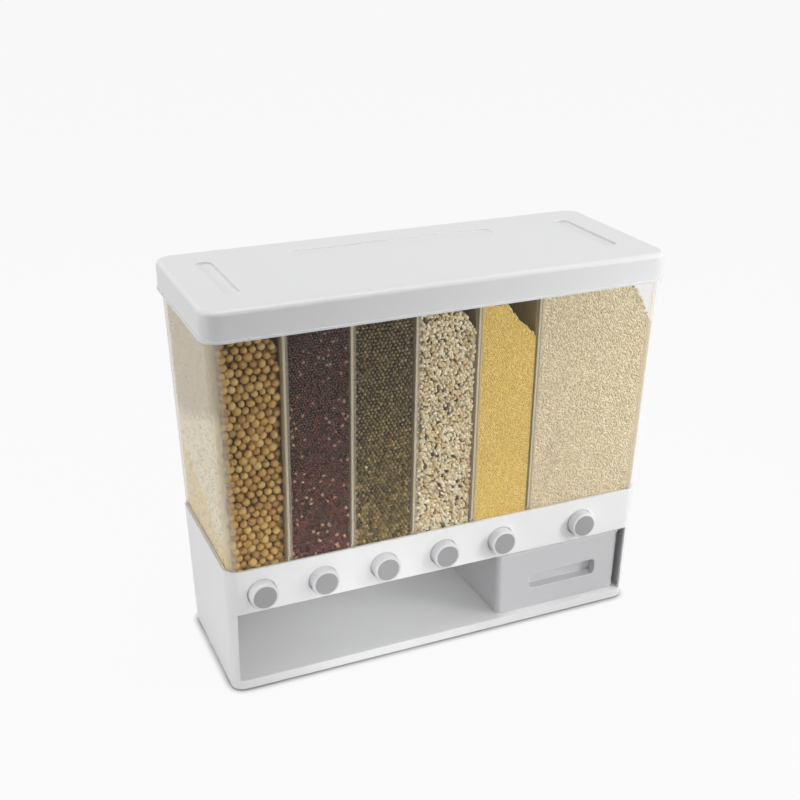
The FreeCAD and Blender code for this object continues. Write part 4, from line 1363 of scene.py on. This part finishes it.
@dataclass
class BaseShell(SubAssembly):
    """White base with softened edges, and its feet."""

    edge: float = 0.4 * MM

    def build(self) -> None:
        """Builds the base's piece and dresses the feet."""
        shell = softened(self.nodes["base_housing"], "base_shell", self.edge)
        dress(shell, self.finishes.of(WHITE_SHELL))
        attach(shell, Body.BASE.value)
        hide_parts("base_housing")
        self.dress_nodes(FOOT_RUBBER, "rubber_feet")
        LOG.info("base: %d faces", len(shell.data.polygons))


@dataclass
class PushButton(SubAssembly):
    """One push button: a hollow round cap with a rounded rim, on a square stem with a neck."""

    number: int
    radius: float = 11.4 * MM
    rim: float = 2.0 * MM
    rim_depth: float = 1.5 * MM
    rim_steps: int = 6
    length: float = 13.5 * MM
    back_edge: float = 0.3 * MM
    face_wall: float = 1.8 * MM
    mouth: float = 8.6 * MM
    hollow_end: float = 8.4 * MM
    stem: float = 3.0 * MM
    neck: float = 1.8 * MM
    neck_length: float = 2.6 * MM
    neck_end: float = 1.8 * MM
    facets: int = 64

    def build(self) -> None:
        """Builds the button where its node is."""
        name = "button_%d" % self.number
        low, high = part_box(name)
        middle = (low + high) / 2
        shape = bmesh.new()
        face = self.cap(shape, middle, low.y)
        self.stem_blocks(shape, middle, low.y + self.face_wall / 2, high.y)
        bmesh.ops.recalc_face_normals(shape, faces=shape.faces)
        face.material_index = 1
        piece = object_from("push_cap_%d" % self.number, shape)
        # The rim, side and stem take the paler finish, which is painted light; the flat face takes the grey
        # one.
        dress(piece, self.finishes.of(BUTTON_PAINTED_LIGHT_SIDE), self.finishes.of(BUTTON_FACE))
        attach(piece, "push_%d" % self.number)
        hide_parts(name)
        self.dress_nodes(WHITE_INNER, "gate_%d" % self.number)
        self.dress_nodes(SPRING_STEEL, "return_spring_%d" % self.number)

    def ring(self, shape: bmesh.types.BMesh, middle: Vector, radius: float,
             along: float) -> list[bmesh.types.BMVert]:
        """One ring of points about the button's axis.

        Args:
            shape: The mesh it goes into.
            middle: A point on the axis.
            radius: The ring's radius.
            along: Its place along Y.

        Returns:
            The points.
        """
        points = []
        for index in range(self.facets):
            turn = 2 * math.pi * index / self.facets
            across, up = radius * math.cos(turn), radius * math.sin(turn)
            points.append(shape.verts.new((middle.x + across, along, middle.z + up)))
        return points

    def cap(self, shape: bmesh.types.BMesh, middle: Vector, front: float) -> bmesh.types.BMFace:
        """Turns the cap.

        Args:
            shape: The mesh it goes into.
            middle: A point on the axis.
            front: Place of the face along Y.

        Returns:
            The flat face.
        """
        leans = [math.pi / 2 * step / self.rim_steps for step in range(self.rim_steps + 1)]
        profile = [(self.radius - self.rim * (1 - math.sin(lean)),
                    front + self.rim_depth * (1 - math.cos(lean))) for lean in leans]
        back = front + self.length
        profile += [(self.radius, back - self.back_edge), (self.radius - self.back_edge, back),
                    (self.mouth, back), (self.hollow_end, front + self.face_wall)]
        rings = [self.ring(shape, middle, radius, along) for radius, along in profile]
        band(shape, rings)
        shape.faces.new(rings[-1])
        return shape.faces.new(rings[0])

    def stem_blocks(self, shape: bmesh.types.BMesh, middle: Vector, start: float, end: float) -> None:
        """Adds the square stem with its neck.

        Args:
            shape: The mesh it goes into.
            middle: A point on the axis.
            start: Its front end along Y.
            end: Its rear end along Y.
        """
        neck_start, neck_stop = end - self.neck_end - self.neck_length, end - self.neck_end
        stations = ((start, self.stem), (neck_start, self.stem), (neck_start, self.neck),
                    (neck_stop, self.neck), (neck_stop, self.stem), (end, self.stem))
        squares = [[shape.verts.new((middle.x + half * across, along, middle.z + half * up))
                    for across, up in SQUARE] for along, half in stations]
        band(shape, squares)
        shape.faces.new(squares[0])
        shape.faces.new(squares[-1])


@dataclass
class MeasuringCup(SubAssembly):
    """Cloudy measuring cup with softened edges, whose rounded edges carry a paler, more opaque finish as a
    painted highlight.
    """

    edge: float = 0.45 * MM

    def build(self) -> None:
        """Builds the cup's piece."""
        shell = softened(self.nodes["measuring_cup"], "cup_shell", self.edge, edge_slot=1)
        dress(shell, self.finishes.of(CLOUDY_CUP), self.finishes.of(CUP_PAINTED_EDGE_HIGHLIGHT))
        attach(shell, Body.CUP.value)
        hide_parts("measuring_cup")
        LOG.info("cup: %d faces", len(shell.data.polygons))


@dataclass
class InnerWorks(SubAssembly):
    """The decks and screws inside the base."""

    def build(self) -> None:
        """Dresses the decks and the screws."""
        self.dress_nodes(WHITE_INNER, "valve_deck", "funnel_deck")
        self.dress_nodes(SCREW_STEEL, "deck_screws")
        LOG.info("inner works: two decks and their screws")


@dataclass(frozen=True)
class Lamp:
    """One square lamp that faces the object."""

    name: str
    power: float
    size: float
    place: tuple[float, float, float]
    aim: tuple[float, float, float] = (0.0, 0.0, 0.16)
    spread: float = 180.0

    def hang(self) -> None:
        """Puts the lamp into the scene."""
        light = bpy.data.lights.new(self.name, "AREA")
        light.energy = self.power
        light.size = self.size
        light.spread = math.radians(self.spread)
        holder = bpy.data.objects.new(self.name, light)
        holder.location = self.place
        holder.rotation_mode = "QUATERNION"
        holder.rotation_quaternion = (Vector(self.aim) - Vector(self.place)).to_track_quat("-Z", "Y")
        bpy.context.scene.collection.objects.link(holder)


@dataclass
class Studio:
    """Pale floor, soft lamps and the camera at the photograph's angle."""

    floor_half: float = 14.0
    floor_glow: float = 0.93
    floor_white: float = 0.5
    floor_roughness: float = 0.9
    floor_specular: float = 0.1
    contact: float = 9 * MM
    contact_dark: float = 0.45
    contact_clear: float = 0.85
    world_light: float = 0.22
    world_tint: Colour = (0.985, 0.99, 1.0)
    world_seen: float = 0.95
    lamps: tuple[Lamp, ...] = (
        Lamp("key_lamp", 17.5, 1.1, (0.1, 0.05, 1.95)),
        Lamp("front_lamp", 0.34, 0.5, (0.2, -1.25, 0.47), (-0.02, 0.0, 0.02), 50.0),
        Lamp("alcove_lamp", 0.04, 0.12, (-0.4, -0.75, 0.43), (-0.02, 0.02, -0.02), 20.0),
        Lamp("right_lamp", 0.7, 0.22, (0.58, -0.5, 0.36), (0.17, -0.07, 0.2), 90.0),
        Lamp("left_lamp", 5.8, 0.6, (-1.3, 0.1, 0.5)),
    )
    camera_place: tuple[float, float, float] = (-0.3779, -0.8492, 0.5991)
    camera_azimuth: float = -23.34
    camera_elevation: float = 23.22
    camera_near: float = 0.01
    camera_far: float = 60.0
    lens: float = 54.46
    sensor: float = 36.0

    def build_floor(self) -> None:
        """Lays the pale floor, which keeps the object's shadow."""
        half = self.floor_half
        shape = bmesh.new()
        shape.faces.new([shape.verts.new((x * half, y * half, 0.0)) for x, y in SQUARE])
        floor = object_from("studio_floor", shape)
        bench = NodeBench("pale_floor")
        bench.feed("Base Color", bench.mottled(bench.noise(2.0), darker(WHITE, self.floor_white), 0.98))
        bench.feed("Roughness", self.floor_roughness)
        bench.feed("Specular IOR Level", self.floor_specular)
        glow = bench.add("ShaderNodeEmission").outputs["Emission"]
        shelter = bench.add("ShaderNodeAmbientOcclusion")
        shelter.inputs["Distance"].default_value = self.contact
        lit = bench.spread(shelter.outputs["AO"], 0.0, self.floor_glow, self.contact_dark, self.contact_clear)
        share = bench.combine("MULTIPLY", bench.seen_directly(), lit)
        bench.join(bench.blend(share, bench.shader.outputs["BSDF"], glow), bench.output.inputs["Surface"])
        dress(floor, bench.material)

    def build_world(self) -> None:
        """Sets the even light all round, seen as plain white."""
        world = bpy.data.worlds.new("studio")
        bpy.context.scene.world = world
        world.use_nodes = True
        bench = TreeBench(world.node_tree)
        lights = []
        for colour, strength in ((self.world_tint, self.world_light), (WHITE, self.world_seen)):
            node = bench.add("ShaderNodeBackground")
            node.inputs["Color"].default_value = (*colour, 1.0)
            node.inputs["Strength"].default_value = strength
            lights.append(node.outputs["Background"])
        output = bench.add("ShaderNodeOutputWorld")
        bench.join(bench.blend(bench.seen_directly(), *lights), output.inputs["Surface"])

    def build_camera(self) -> None:
        """Sets the camera at the photograph's viewing angle."""
        data = bpy.data.cameras.new("camera")
        data.lens = self.lens
        data.sensor_width = self.sensor
        data.clip_start = self.camera_near
        data.clip_end = self.camera_far
        camera = bpy.data.objects.new("camera", data)
        camera.location = self.camera_place
        tilt, turn = math.radians(90 - self.camera_elevation), math.radians(self.camera_azimuth)
        camera.rotation_euler = (tilt, 0.0, turn)
        bpy.context.scene.collection.objects.link(camera)
        bpy.context.scene.camera = camera

    def build(self) -> None:
        """Sets up floor, light and camera."""
        bpy.context.scene.view_settings.view_transform = "Standard"
        self.build_floor()
        self.build_world()
        for lamp in self.lamps:
            lamp.hang()
        self.build_camera()
        LOG.info("studio: floor, world, %d lamps and camera", len(self.lamps))


def main() -> None:
    """Loads the frame and builds every sub-assembly round it."""
    logging.basicConfig(level=logging.INFO, format="%(name)s: %(message)s")
    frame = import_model()
    nodes = frame["nodes"]
    finishes = Finishes()
    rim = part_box("hopper")[1].z
    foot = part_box("base_housing")[1].z
    Studio().build()
    BaseShell(finishes, nodes).build()
    InnerWorks(finishes, nodes).build()
    for number in range(1, 7):
        PushButton(finishes, nodes, number).build()
    MeasuringCup(finishes, nodes).build()
    Hopper(finishes, nodes).build()
    Contents(finishes, HopperSpace(rim, foot)).build()
    Lid(finishes, nodes).build()


if __name__ == "__main__":
    main()
